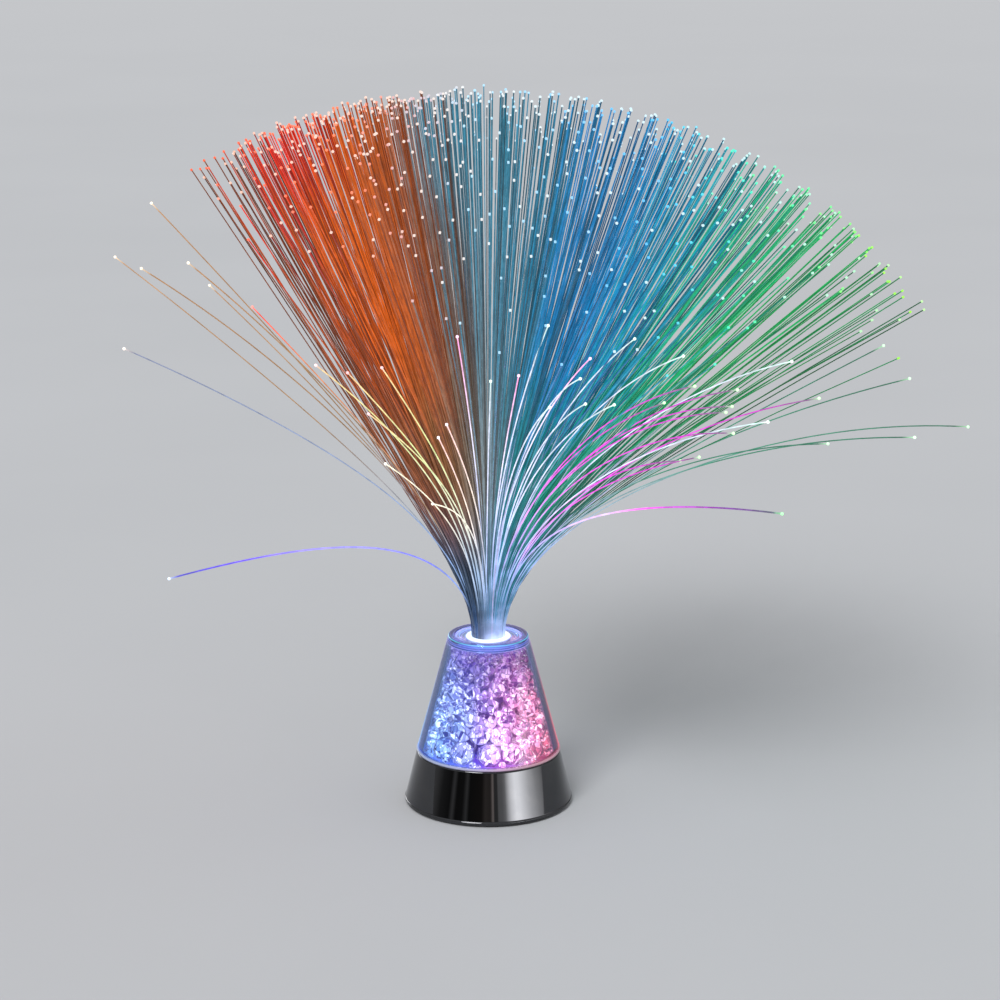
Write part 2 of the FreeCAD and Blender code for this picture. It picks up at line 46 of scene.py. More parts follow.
# shapes
def scatter(number, salt):
    # repeatable value from 0 to 1: the fraction of sin(12.9898 n + 78.233 salt) * 43758.5453
    wave = np.sin(np.asarray(number) * 12.9898 + salt * 78.233) * 43758.5453
    return wave - np.floor(wave)


def softProfile(corners, reach, steps=4):
    # each corner c of a closed profile becomes q(t) = (1-t)^2 a + 2 t (1-t) c + t^2 b, where a and b lie on
    # its two sides, reach away from it; a point a little further out on each side keeps the flats flat
    c = np.array(corners, float)[:, None]
    sides = [np.roll(c, shift, 0) - c for shift in (1, -1)]
    lengths = [np.linalg.norm(side, axis=2, keepdims=True) for side in sides]
    a, b = [c + side / length * np.minimum(reach, 0.36 * length) for side, length in zip(sides, lengths)]
    holdA, holdB = [c + side / length * np.minimum(reach * 1.5, 0.46 * length)
        for side, length in zip(sides, lengths)]
    t = np.linspace(0, 1, steps)[None, :, None]
    curve = (1 - t) ** 2 * a + 2 * t * (1 - t) * c + t ** 2 * b
    return np.concatenate([holdA, curve, holdB], 1).reshape(-1, 2)


def gridFaces(rows, columns, closedRows=True, closedColumns=True):
    # quads of a grid whose point (i, j) has the number i * columns + j
    i, j = np.meshgrid(np.arange(rows if closedRows else rows - 1),
        np.arange(columns if closedColumns else columns - 1), indexing="ij")
    nextI = (i + 1) % rows
    nextJ = (j + 1) % columns
    return np.stack([i * columns + j, nextI * columns + j, nextI * columns + nextJ, i * columns + nextJ],
        -1).reshape(-1, 4)


def around(radius, angle, height=0):
    # p = (r cos a, r sin a, z)
    return np.stack(np.broadcast_arrays(radius * np.cos(angle), radius * np.sin(angle), height), -1)


def fullTurn(segments):
    # angles of a closed ring, as a column
    return (np.arange(segments) * 2 * np.pi / segments)[:, None]


def turnedSurface(profile, segments, x=0, y=0):
    # p(u, v) = (x + r(v) cos u, y + r(v) sin u, z(v)), closed both ways; the profile runs up its outer side
    r, z = np.array(profile, float).T[:, None]
    points = around(r, fullTurn(segments), z) + (x, y, 0)
    return points.reshape(-1, 3), [gridFaces(segments, len(profile))]


def prism(outline, low, high):
    # straight walls over a closed outline, with a face at each end
    outline = np.asarray(outline, float)
    count = len(outline)
    points = np.vstack([np.column_stack([outline, np.full(count, level)]) for level in (low, high)])
    k = np.arange(count)
    walls = np.stack([k, (k + 1) % count, (k + 1) % count + count, k + count], -1)
    return points, [walls, k[None, ::-1], (k + count)[None]]


def turnMatrices(angles, first, second):
    # rotation by each angle, in radians, in the plane of two axes
    matrices = np.tile(np.eye(3), (len(angles), 1, 1))
    matrices[:, first, first] = matrices[:, second, second] = np.cos(angles)
    matrices[:, second, first] = np.sin(angles)
    matrices[:, first, second] = -np.sin(angles)
    return matrices


def turnedCopies(shape, angles):
    # the same shape turned about Z by each angle, in degrees
    points, faces = shape
    turned = np.einsum("nij,cj->nci", turnMatrices(np.radians(angles), 0, 1), points)
    shift = (np.arange(len(angles)) * len(points))[:, None, None]
    return turned.reshape(-1, 3), [(f[None] + shift).reshape(-1, f.shape[1]) for f in faces]


def joined(shapes):
    # several shapes as one list of points and faces
    starts = np.cumsum([0] + [len(points) for points, faces in shapes[:-1]])
    return (np.vstack([points for points, faces in shapes]),
        [f + start for (points, faces), start in zip(shapes, starts) for f in faces])


def newPiece(name, shape, finish):
    points, faces = shape
    mesh = bpy.data.meshes.new(name)
    mesh.from_pydata((points * 0.001).tolist(), [], [row for f in faces for row in f.tolist()])
    mesh.update()
    mesh.materials.append(finish)
    piece = bpy.data.objects.new(name, mesh)
    scene.collection.objects.link(piece)
    return piece


def putMesh(name, shape, body, replaced, finish, sharp=None):
    # sharp is the angle in degrees over which an edge stays crisp
    piece = newPiece(name, shape, finish)
    if sharp is not None:
        piece.data.polygons.foreach_set("use_smooth", np.ones(len(piece.data.polygons), bool))
        piece.data.set_sharp_from_angle(angle=math.radians(sharp))
    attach(piece, body)
    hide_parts(*replaced)
    return piece


def writeLayer(piece, name, kind, domain, values):
    # a value, vector or colour for each point, corner or face
    field = {"FLOAT": "value", "FLOAT_VECTOR": "vector", "FLOAT_COLOR": "color"}[kind]
    layer = piece.data.attributes.new(name, kind, domain)
    layer.data.foreach_set(field, values.astype(np.float32).ravel())


# shader helpers, and the node tree, shader and material that they work on
building = {}
black = (0, 0, 0)


class Wire:
    # an output socket; a sum or product with it adds a Math node
    def __init__(self, socket):
        self.socket = socket

    def __add__(self, other):
        return maths("ADD", self, other)

    def __sub__(self, other):
        return maths("SUBTRACT", self, other)

    def __rsub__(self, other):
        return maths("SUBTRACT", other, self)

    def __mul__(self, other):
        return maths("MULTIPLY", self, other)

    __radd__ = __add__
    __rmul__ = __mul__


def plug(socket, value):
    if isinstance(value, Wire):
        building["tree"].links.new(value.socket, socket)
    else:
        socket.default_value = (*value, 1) if socket.type == "RGBA" and len(value) == 3 else value


def addNode(kind, inputs, **settings):
    node = building["tree"].nodes.new("ShaderNode" + kind)
    for key, value in settings.items():
        setattr(node, key, value)
    for key, value in inputs.items():
        plug(node.inputs[key], value)
    return node


def wire(kind, inputs={}, key=0, **settings):
    return Wire(addNode(kind, inputs, **settings).outputs[key])


def wires(kind, inputs={}, **settings):
    return {socket.name: Wire(socket) for socket in addNode(kind, inputs, **settings).outputs}


def maths(operation, a, b=0, clamp=False):
    return wire("Math", {0: a, 1: b}, operation=operation, use_clamp=clamp)


def between(value, fromLow, fromHigh, toLow=0, toHigh=1, how="SMOOTHSTEP"):
    # a value taken from one range to another
    return wire("MapRange", {"Value": value, "From Min": fromLow, "From Max": fromHigh, "To Min": toLow,
        "To Max": toHigh}, interpolation_type=how)


def mixed(share, a, b, how="MIX"):
    return wire("Mix", {0: share, 6: a, 7: b}, 2, data_type="RGBA", blend_type=how, clamp_factor=True)


def dimmed(colour, by):
    # a colour times a value or another colour
    if isinstance(by, Wire) and by.socket.type == "VALUE":
        by = wire("CombineColor", {0: by, 1: by, 2: by})
    return mixed(1, colour, by, "MULTIPLY")


def ramp(value, stops):
    # stops are (place, red, green, blue)
    node = addNode("ValToRGB", {"Fac": value})
    elements = node.color_ramp.elements
    while len(elements) > 1:
        elements.remove(elements[-1])
    elements[0].position = stops[0][0]
    elements[0].color = (*stops[0][1:], 1)
    for place, *colour in stops[1:]:
        elements.new(place).color = (*colour, 1)
    return Wire(node.outputs["Color"])


def objectPoint():
    return wire("TexCoord", {}, "Object")


def axis(name):
    return wire("SeparateXYZ", {0: objectPoint()}, name)


def fromAxis():
    # distance from the Z axis
    flat = wire("VectorMath", {0: objectPoint(), 1: (1, 1, 0)}, operation="MULTIPLY")
    return wire("VectorMath", {0: flat}, "Value", operation="LENGTH")


def noise(scale, detail, vector=None, **more):
    return wire("TexNoise", {"Vector": vector or objectPoint(), "Scale": scale, "Detail": detail, **more},
        "Fac")


def attribute(name, key="Fac"):
    return wire("Attribute", {}, key, attribute_name=name)


def bump(height, strength, distance):
    return wire("Bump", {"Height": height, "Strength": strength, "Distance": distance})


def startGroup(name, **takes):
    # each input is (kind, default)
    tree = bpy.data.node_groups.new(name, "ShaderNodeTree")
    building["tree"] = tree
    for key, (kind, default) in takes.items():
        socket = tree.interface.new_socket(key, in_out="INPUT", socket_type="NodeSocket" + kind)
        if default is not None:
            socket.default_value = default
    return {socket.name: Wire(socket) for socket in tree.nodes.new("NodeGroupInput").outputs}


def endGroup(**gives):
    tree = building["tree"]
    kinds = {"VALUE": "NodeSocketFloat", "RGBA": "NodeSocketColor"}
    for key, value in gives.items():
        tree.interface.new_socket(key.replace("_", " "), in_out="OUTPUT",
            socket_type=kinds[value.socket.type])
    output = tree.nodes.new("NodeGroupOutput")
    for key, value in gives.items():
        plug(output.inputs[key.replace("_", " ")], value)
    return tree


def newFinish(name, **sockets):
    # a material with a Principled shader whose plain values are set on its own sockets
    finish = bpy.data.materials.new(name)
    finish.use_nodes = True
    building.update(finish=finish, tree=finish.node_tree, shader=finish.node_tree.nodes["Principled BSDF"])
    return feed(**sockets)


def feed(**sockets):
    # values and wires for the shader of the material that is being built
    for key, value in sockets.items():
        plug(building["shader"].inputs[key.replace("_", " ")], value)
    return building["finish"]


def setSurface(share, a, b):
    # the material's surface is a mix of two shaders
    both = wire("MixShader", {0: share, 1: a, 2: b})
    plug(building["tree"].nodes["Material Output"].inputs["Surface"], both)


def lampsPassThrough():
    # glass that lets the lamps light what is behind it
    setSurface(wire("LightPath", {}, "Is Shadow Ray"), Wire(building["shader"].outputs[0]),
        wire("BsdfTransparent", {"Color": (0.93, 0.96, 0.97)}))


# shared effects
def makeGrain():
    # moulded grain: two noises of one size ratio, as a height, a roughness shift and a shade
    takes = startGroup("mouldedGrain", Scale=("Float", 900), Wear=("Float", 0.3))
    fine = noise(takes["Scale"], 3)
    broad = noise(takes["Scale"] * 0.06, 4, Distortion=0.6)
    return endGroup(Height=fine, Roughness_Shift=(between(broad, 0.52, 0.72) - 0.4) * takes["Wear"],
        Shade=broad * takes["Wear"] + fine * 0.12)


def makeHairlines():
    # fine scratches: noise stretched along one direction, kept only where it peaks
    takes = startGroup("hairlines", Scale=("Float", 60), Across=("Vector", (1, 1, 0.05)),
        Amount=("Float", 0.5))
    turned = wire("Mapping", {"Vector": objectPoint(), "Scale": takes["Across"],
        "Rotation": (0.3, 0.2, 0.5)})
    mask = between(noise(takes["Scale"], 5, turned, Roughness=0.7), 0.6, 0.68) * takes["Amount"]
    return endGroup(Mask=mask)


def makeDust():
    # settled dust: more on faces that look up, in soft patches
    takes = startGroup("settledDust", Color=("Color", None), Amount=("Float", 0.2))
    upward = wire("SeparateXYZ", {0: wire("NewGeometry", {}, "Normal")}, "Z")
    mask = between(noise(140, 5), 0.42, 0.7) * (between(upward, -0.2, 1, 0.25, 1) * takes["Amount"])
    return endGroup(Color=mixed(mask, takes["Color"], (0.42, 0.4, 0.38)), Mask=mask)


# halfWidth, heights and hotSpots (x, y, z, reach) are in metres
lightValues = {"halfWidth": 0.03, "drift": 0.16, "heights": (0.024, 0.077), "deepMix": 0.65,
    "deepColour": (0.22, 0.02, 0.55), "hotSpots": ((0.004, -0.023, 0.038, 0.014),
    (0.0135, -0.02, 0.031, 0.01), (-0.004, 0.022, 0.036, 0.01))}


def makeLampColour():
    # light of the LEDs inside: blue at -X, violet in the middle, pink and red at +X, deeper towards the top
    takes = startGroup("lampColour", Drift=("Float", lightValues["drift"]))
    across = between(axis("X"), -lightValues["halfWidth"], lightValues["halfWidth"], how="LINEAR")
    across = maths("ADD", across, (noise(75, 2) - 0.5) * takes["Drift"], clamp=True)
    hue = ramp(across, ((0, 0.1, 0.4, 0.88), (0.2, 0.22, 0.43, 0.95), (0.36, 0.42, 0.38, 1),
        (0.47, 0.62, 0.32, 1), (0.58, 0.95, 0.32, 0.9), (0.76, 1, 0.2, 0.5), (0.92, 1, 0.06, 0.16)))
    rise = between(axis("Z"), *lightValues["heights"], how="LINEAR")
    deep = mixed(lightValues["deepMix"], hue, lightValues["deepColour"])
    hot = 0
    for *place, reach in lightValues["hotSpots"]:
        away = wire("VectorMath", {0: objectPoint(), 1: place}, "Value", operation="DISTANCE")
        hot = maths("MAXIMUM", between(away, reach, reach * 0.2), hot)
    return endGroup(Color=mixed(between(rise, 0.45, 1), hue, deep), Rise=rise, Hot=hot)


groups = {"grain": makeGrain(), "hairlines": makeHairlines(), "dust": makeDust(),
    "lampColour": makeLampColour()}


def effect(name, **inputs):
    return wires("Group", inputs, node_tree=groups[name])


def surfaceDetail(values):
    # grain, wear and dust of a solid surface, from one dictionary of values
    detail = effect("grain", Scale=values.get("grain", 900), Wear=values.get("wear", 0.25))
    worn = values.get("worn", tuple(min(1, c * 1.5 + 0.02) for c in values["colour"]))
    settled = effect("dust", Color=mixed(detail["Shade"], values["colour"], worn),
        Amount=values.get("dust", 0.12))
    lines = effect("hairlines", Scale=values.get("lineScale", 60), Amount=values.get("lines", 0.1),
        Across=values.get("across", (1, 1, 0.05)))["Mask"]
    rough = maths("ADD", values["rough"] + detail["Roughness Shift"], settled["Mask"] * 0.4 + lines,
        clamp=True)
    normal = bump(detail["Height"] - lines, values.get("bump", 0.3), values.get("depth", 0.00008))
    feed(Base_Color=settled["Color"], Roughness=rough, Normal=normal)
    return settled["Color"]


def solidFinish(name, values, **sockets):
    finish = newFinish(name, **sockets)
    surfaceDetail(values)
    return finish


# chrome band
chromeValues = {"colour": (0.074, 0.075, 0.079), "worn": (0.095, 0.095, 0.1), "rough": 0.04, "grain": 260,
    "wear": 0.03, "dust": 0.03, "lines": 0.05, "lineScale": 22, "across": (0.15, 0.15, 3), "bump": 0.05,
    "depth": 0.00003}
bandShape = {"segments": 256, "soften": 0.28, "bossAngles": (52, 128, 232, 308),
    "postAngles": (0, 120, 240)}


def makeChromeBand():
    band = turnedSurface(softProfile([(36.9, 0.5), (39, 0.5), (39, 1.7), (38.65, 2.05), (33.3, 24.1),
        (32.9, 24.5), (31.3, 24.5), (31.3, 22.4), (21.5, 22.4), (21.5, 20.6), (32.2, 20.6), (35.7, 2.8),
        (36.9, 2.8)], bandShape["soften"]), bandShape["segments"])
    boss = turnedSurface([(1.35, 5), (3, 5), (3, 20.9), (1.35, 20.9)], 20, 29.5)
    post = turnedSurface([(1, 18.2), (2, 18.2), (2, 20.9), (1, 20.9)], 16, 24)
    web = prism([(32, -0.6), (33.5, -0.6), (33.5, 0.6), (32, 0.6)], 9, 20.9)
    return joined([band, turnedCopies(boss, bandShape["bossAngles"]),
        turnedCopies(web, bandShape["bossAngles"]), turnedCopies(post, bandShape["postAngles"])])


putMesh("chromeBand", makeChromeBand(), "base", ["base_ring"],
    solidFinish("darkChrome", chromeValues, Metallic=1), sharp=50)

# seal and foot
# litTop is in metres
sealValues = {"segments": 192, "glow": 0.22, "litTop": (0.0249, 0.0253)}


def makeSealFinish():
    # painted glow: the seal's upper edge gives off a pale tint of the lamp's light, and its base colour
    # takes a little of the lamp's hue too
    newFinish("litSeal", Roughness=0.4, Transmission_Weight=0.15, IOR=1.41,
        Emission_Strength=sealValues["glow"])
    detail = effect("grain", Scale=700, Wear=0.2)
    pale = mixed(0.75, effect("lampColour")["Color"], (0.42, 0.4, 0.46))
    return feed(Base_Color=mixed(detail["Shade"], pale, (0.36, 0.36, 0.4)),
        Emission_Color=dimmed(pale, between(axis("Z"), *sealValues["litTop"])),
        Normal=bump(detail["Height"], 0.3, 0.0001))


sealShape = turnedSurface(softProfile([(31.1, 24.5), (33.15, 24.5), (33.5, 24.85), (33.5, 25.35),
    (33.15, 25.7), (31.1, 25.7)], 0.2), sealValues["segments"])
putMesh("rimSeal", sealShape, "base", ["rim_seal"], makeSealFinish(), sharp=40)

footValues = {"colour": (0.018, 0.018, 0.02), "rough": 0.75, "grain": 1500, "wear": 0.3, "dust": 0.3,
    "bump": 0.5, "depth": 0.0001}
footShape = turnedSurface(softProfile([(33.1, 0.4), (33.5, 0), (35.2, 0), (35.6, 0.4), (35.6, 1.8),
    (33.1, 1.8)], 0.15), 128)
putMesh("footRing", footShape, "base", ["foot_ring"], solidFinish("footRubber", footValues),
    sharp=40)

# clear cone and cap
# litEdges are (radius, width, colour) and litLevels (height, width, colour) of painted highlight lines;
# rimHeights are where the edges come on; all in metres
coneValues = {"rimHeights": (0.0768, 0.0785), "segments": 256, "soften": 0.35, "tint": (0.93, 0.98, 0.99),
    "rough": 0.01, "glow": 0.6, "depthColour": (0.22, 0.4, 0.68), "depthDensity": 400, "footShare": 0.5,
    "bandGlow": 0.35, "bandTint": (0.35, 0.35, 0.8), "lineGlow": 1, "topGlow": (0.035, 0.04, 0.12),
    "litEdges": ((0.01835, 0.0003, (0.1, 0.62, 0.6)), (0.0176, 0.00012, (0.3, 0.24, 0.6)),
    (0.016, 0.00018, (0.26, 0.22, 0.62))), "litLevels": ((0.0788, 0.00014, (0.3, 0.34, 0.7)),
    (0.0779, 0.00012, (0.5, 0.4, 0.72)), (0.077, 0.00014, (0.42, 0.36, 0.66)))}
coneProfile = [(30, 22.4), (31, 22.4), (31, 25.7), (33, 25.7), (18.54, 79.65), (17.99, 80.1), (15.5, 80.1),
    (15.5, 77.1), (14.4, 77.1), (14.4, 76.9), (17.2, 76.4), (30, 25.7)]


def litLines(measure, rows, share):
    # thin painted highlight lines where a measure is near each row's value
    return [mixed(between(maths("ABSOLUTE", measure - at), width, width * 0.3) * share, black, colour)
        for at, width, colour in rows]


def makeClearFinish(name, values):
    finish = newFinish(name, Transmission_Weight=1, IOR=1.49, Metallic=0, Emission_Strength=values["glow"])
    light = effect("lampColour")
    hue = light["Color"]
    rise = light["Rise"]
    detail = effect("grain", Scale=120, Wear=0.5)
    lines = effect("hairlines", Scale=34, Amount=0.1, Across=(1, 1, 0.12))["Mask"]
    facing = wire("LayerWeight", {"Blend": 0.5}, "Facing")
    fade = between(rise, 0, 0.75, 1, 0.45)
    # all of this emission is painted light: a glow at the foot, a painted glow band and a thin line where
    # the wall is seen nearly edge on, fading higher up, a faint glow at the top, and the painted highlight
    # lines
    lights = [dimmed(dimmed(hue, hue), between(rise, 0.05, 0) * values["footShare"]),
        dimmed(dimmed(hue, values["bandTint"]), between(facing, 0.45, 0.8) * fade * values["bandGlow"]),
        dimmed(hue, between(facing, 0.75, 0.93) * fade * values["lineGlow"]),
        mixed(between(rise, 0.965, 0.985), black, values["topGlow"])]
    lights += litLines(fromAxis(), values["litEdges"], between(axis("Z"), *coneValues["rimHeights"]))
    lights += litLines(axis("Z"), values["litLevels"], 1)
    lit = lights[0]
    for more in lights[1:]:
        lit = mixed(1, lit, more, "ADD")
    feed(Base_Color=mixed(detail["Shade"] * 0.35, values["tint"], (0.94, 0.98, 1)), Emission_Color=lit,
        Roughness=maths("MAXIMUM", detail["Roughness Shift"], 0) * 0.12 + (values["rough"] + lines))
    depth = wire("VolumeAbsorption", {"Color": values["depthColour"], "Density": values["depthDensity"]})
    plug(building["tree"].nodes["Material Output"].inputs["Volume"], depth)
    lampsPassThrough()
    return finish


putMesh("clearCone", turnedSurface(softProfile(coneProfile, coneValues["soften"]), coneValues["segments"]),
    "base", ["clear_cone"], makeClearFinish("clearAcrylic", coneValues), sharp=40)
capValues = {"tint": (0.88, 0.95, 0.99), "rough": 0.015, "glow": 0.8, "depthColour": (0.16, 0.45, 0.7),
    "depthDensity": 110, "footShare": 0, "bandGlow": 0, "bandTint": (0.35, 0.35, 0.8), "lineGlow": 0,
    "topGlow": (0.012, 0.018, 0.06), "litLevels": (), "litEdges": ((0.0146, 0.00011, (0.2, 0.2, 0.55)),
    (0.01345, 0.00018, (0.14, 0.4, 0.62)), (0.0124, 0.00011, (0.3, 0.27, 0.62)),
    (0.0107, 0.00018, (0.34, 0.42, 0.75)), (0.0153, 0.00015, (0.36, 0.3, 0.7)))}
capShape = turnedSurface(softProfile([(9.25, 77.1), (15.35, 77.1), (15.35, 79.6), (13.6, 79.6),
    (13.3, 79.3), (13.3, 78.9), (10.7, 78.9), (10.7, 78.6), (9.25, 78.6)], 0.16), 192)
putMesh("topCap", capShape, "base", ["top_cap"], makeClearFinish("clearCap", capValues),
    sharp=40)

# sleeve
# edge and litTop are in metres
sleeveValues = {"segments": 160, "glow": 0.8, "edge": 0.0104, "litTop": (0.0789, 0.0796)}


def makeCollarFinish():
    # white collar with painted glow: it shines on its top, where the light leaves the bundle, and gives off
    # a faint blue on its sides
    newFinish("litCollar", Roughness=0.22, Emission_Strength=sleeveValues["glow"], Coat_Weight=0.4)
    side = between(axis("X"), -sleeveValues["edge"], sleeveValues["edge"], how="LINEAR")
    tint = ramp(side, ((0, 0.55, 0.86, 1), (0.5, 0.93, 0.95, 1), (1, 0.95, 0.86, 1)))
    detail = effect("grain", Scale=600, Wear=0.15)
    return feed(Base_Color=mixed(detail["Shade"], (0.8, 0.84, 0.95), (0.9, 0.94, 1)),
        Emission_Color=mixed(between(axis("Z"), *sleeveValues["litTop"]), (0.06, 0.07, 0.2), tint),
        Normal=bump(detail["Height"], 0.15, 0.00005))


sleeveShape = turnedSurface(softProfile([(8, 27), (8.65, 27), (9.05, 27.6), (9.05, 78.6), (10.4, 78.6),
    (10.4, 79.3), (9.9, 79.8), (8, 79.8)], 0.22), sleeveValues["segments"])
putMesh("spraySleeve", sleeveShape, "spray", ["spray_sleeve"], makeCollarFinish(), sharp=40)
print("base, cone, cap and collar made")

# crystals
# wall is the inside of the cone as (radius, height) in millimetres; wallAtFloor and wallSlope take metres
# of the crystals' values, outline sets the painted shade at each chunk's rim, and shadeDepth and shadeLevel
# the painted shade of deeper chunks
crystalValues = {"wall": ((30, 25.7), (17.5, 74.5)), "wallAtFloor": 0.0366, "wallSlope": 0.256,
    "fitSlope": 0.28, "low": 24.2, "top": 75.6, "highest": 76.3, "tubeRadius": 10.5, "bigRadius": 5,
    "smallRadius": 2.9, "spread": 1.5, "chipRadii": (1.9, 1.3), "trials": 72, "rings": 9, "misses": 14,
    "beltHeights": (0.8, 0.26, -0.34, -0.84), "swell": 1.17, "clear": 0.45, "tint": 0.16,
    "glassColour": (0.12, 0.1, 0.24), "glow": 1, "facetShare": 0.45, "shardScale": 520,
    "shardStretch": (1, 1, 0.45), "sparkleScale": 1000, "sparkleLevel": 2, "hotShift": 0.22, "peak": 6.5,
    "topLevel": 0.27, "topContrast": 0.6, "topShift": 0.06, "shadeDepth": 0.011, "shadeLevel": 0.18,
    "outline": 0.15, "rimShadeFacing": (0.45, 0.8), "edgeWidth": 0.2, "edgeShare": 0.4, "edgeLight": 2.2,
    "deepTint": (0.22, 0.06, 0.42), "paleMix": 0.5, "pale": (0.95, 0.93, 1), "throughWall": (1, 0.85, 0.62),
    "tones": ((0, 0, 0, 0.1), (0.26, 0.15, 0, 0.16), (0.38, 0.8, 0.05, 0.3), (0.56, 1, 0.3, 0.5),
    (0.7, 1, 0.6, 0.8), (0.82, 1, 0.85, 1)), "frontGems": ((-19.6, -14.6, 29.3, 4.9),
    (-11.4, -21.6, 29.4, 5), (0.4, -24.2, 29.4, 5.1), (-3.6, -22.4, 38.9, 4.4), (10.9, -21.6, 29.2, 4.8),
    (19.8, -14.6, 29, 4.6))}


def coneInside(height):
    (lowRadius, low), (highRadius, high) = crystalValues["wall"]
    return lowRadius + (highRadius - lowRadius) * (height - low) / (high - low)


def dropCrystals(values):
    # each envelope comes to rest at the lowest of its trial places: rest = max(z + sqrt((R + r)^2 - gap^2))
    slope = math.cos(math.atan(values["fitSlope"]))
    placed = np.array(values["frontGems"], float)
    low = level = values["low"]
    big, small, chipRadii = values["bigRadius"], values["smallRadius"], values["chipRadii"]
    misses = number = 0
    chips = -1
    while True:
        number += 1
        fill = (level - low) / (values["top"] - low)
        if chips >= 0:
            radius = chipRadii[chips] * (0.8 + 0.5 * scatter(number, 1))
        else:
            radius = big + (small - big) * fill + values["spread"] * (scatter(number, 1) - 0.5)
            radius *= 1 - 0.03 * misses
        angle = (2 * np.pi * (np.arange(values["trials"]) + scatter(number, 2)) / values["trials"])[:, None]
        inner = values["tubeRadius"] + radius + 0.1
        outer = coneInside(low + radius) - radius / slope - 0.1
        reach = inner + (outer - inner) * np.arange(values["rings"]) / (values["rings"] - 1)
        x, y = around(reach, angle).reshape(-1, 3)[:, :2].T
        gap = np.hypot(placed[None, :, 0] - x[:, None], placed[None, :, 1] - y[:, None])
        touch = radius + placed[None, :, 3] + 0.02
        resting = placed[None, :, 2] + np.sqrt(np.maximum(touch ** 2 - gap ** 2, 0))
        rest = np.where(gap < touch, resting, 0).max(1)
        rest = np.maximum(rest, low + radius + 0.02)
        fits = (np.hypot(x, y) + radius / slope + 0.05 < coneInside(rest)) & (rest + radius < values["top"])
        if fits.any():
            best = np.where(fits, rest, 1e9).argmin()
            placed = np.vstack([placed, (x[best], y[best], rest[best], radius)])
            level = rest[best]
            continue
        misses += 1
        if misses >= values["misses"]:
            chips += 1
            misses = 0
            if chips == len(chipRadii):
                return placed


def cutCrystals(placed, values):
    # chunk: belts of six corners on a ball, p = R * turn * (s cos a, s sin a, h) with s = sqrt(1 - h^2);
    # corners that would pass the wall, the plate or the tube are pressed flat against it
    count = len(placed)
    index = np.arange(count)
    sides = 6
    wobble = scatter(index[:, None] * 7 + np.arange(4), 11) - 0.5
    heights = np.array(values["beltHeights"])[None] + 0.1 * wobble
    angle = 2 * np.pi * (np.arange(sides)[None, None] + 0.5 * np.arange(4)[None, :, None]) / sides
    angle = angle + 0.3 * (scatter(index[:, None, None] * 31 + np.arange(24).reshape(1, 4, 6), 12) - 0.5)
    spread = np.sqrt(1 - heights ** 2)[:, :, None]
    local = around(spread, angle, heights[:, :, None]).reshape(count, 24, 3)
    tilt = turnMatrices(2 * np.pi * scatter(index, 5), 1, 2)
    turn = turnMatrices(2 * np.pi * scatter(index, 6), 0, 1)
    points = np.einsum("nij,njk,nck->nci", turn, tilt, local) * placed[:, None, 3:4] * values["swell"]
    points = points + placed[:, None, :3]
    points[..., 2] = np.clip(points[..., 2], values["low"] + 0.1, values["highest"])
    away = np.hypot(points[..., 0], points[..., 1])
    kept = np.clip(away, values["tubeRadius"] + 0.05, coneInside(points[..., 2]) - 0.12)
    points[..., :2] *= (kept / away)[..., None]
    k = np.arange(sides)
    follow = (k + 1) % sides
    belts = []
    for low in (0, sides, 2 * sides):
        high = low + sides
        belts += [np.stack([low + k, high + k, low + follow], -1),
            np.stack([low + follow, high + k, high + follow], -1)]
    belts += [np.stack([k, follow, np.full(sides, 24)], -1),
        np.stack([18 + follow, 18 + k, np.full(sides, 25)], -1)]
    middles = np.stack([points[:, :6].mean(1), points[:, 18:].mean(1)], 1)
    triangles = (np.vstack(belts)[None] + (index * 26)[:, None, None]).reshape(-1, 3)
    return np.concatenate([points, middles], 1).reshape(-1, 3), [triangles]


def markCrystals(piece, shape, placed):
    # edgeReach: millimetres to each side of a triangle, its height at the corner facing that side and 0 at
    # the others; the spokes of a table aren't edges, so they count as far away
    points, (triangles,) = shape
    corner = points[triangles]
    facing = np.linalg.norm(np.roll(corner, -1, 1) - np.roll(corner, -2, 1), axis=2)
    area = np.linalg.norm(np.cross(corner[:, 1] - corner[:, 0], corner[:, 2] - corner[:, 0]), axis=1)
    height = area[:, None] / np.maximum(facing, 1e-6)
    reach = np.eye(3)[None] * height[:, :, None]
    reach[(triangles % 26 >= 24).any(1), :, :2] = 9
    writeLayer(piece, "edgeReach", "FLOAT_VECTOR", "CORNER", reach)
    # roundNormal: direction from the middle of each chunk, (p - c) / |p - c|
    away = points.reshape(len(placed), 26, 3) - placed[:, None, :3]
    writeLayer(piece, "roundNormal", "FLOAT_VECTOR", "POINT",
        away / np.linalg.norm(away, axis=2, keepdims=True))
    # facetGlint: how bright each face's painted glint is, one value per cut face, two triangles of a belt
    # or a whole table, and one per crystal
    facet = np.arange(len(triangles))
    part = facet % 48
    cutFace = np.where(part < 36, part // 12 * 6 + part % 6, part // 6 + 12)
    glint = 0.58 * scatter(facet // 48 * 20 + cutFace, 21) + 0.42 * scatter(facet // 48, 22)
    writeLayer(piece, "facetGlint", "FLOAT", "FACE", glint)


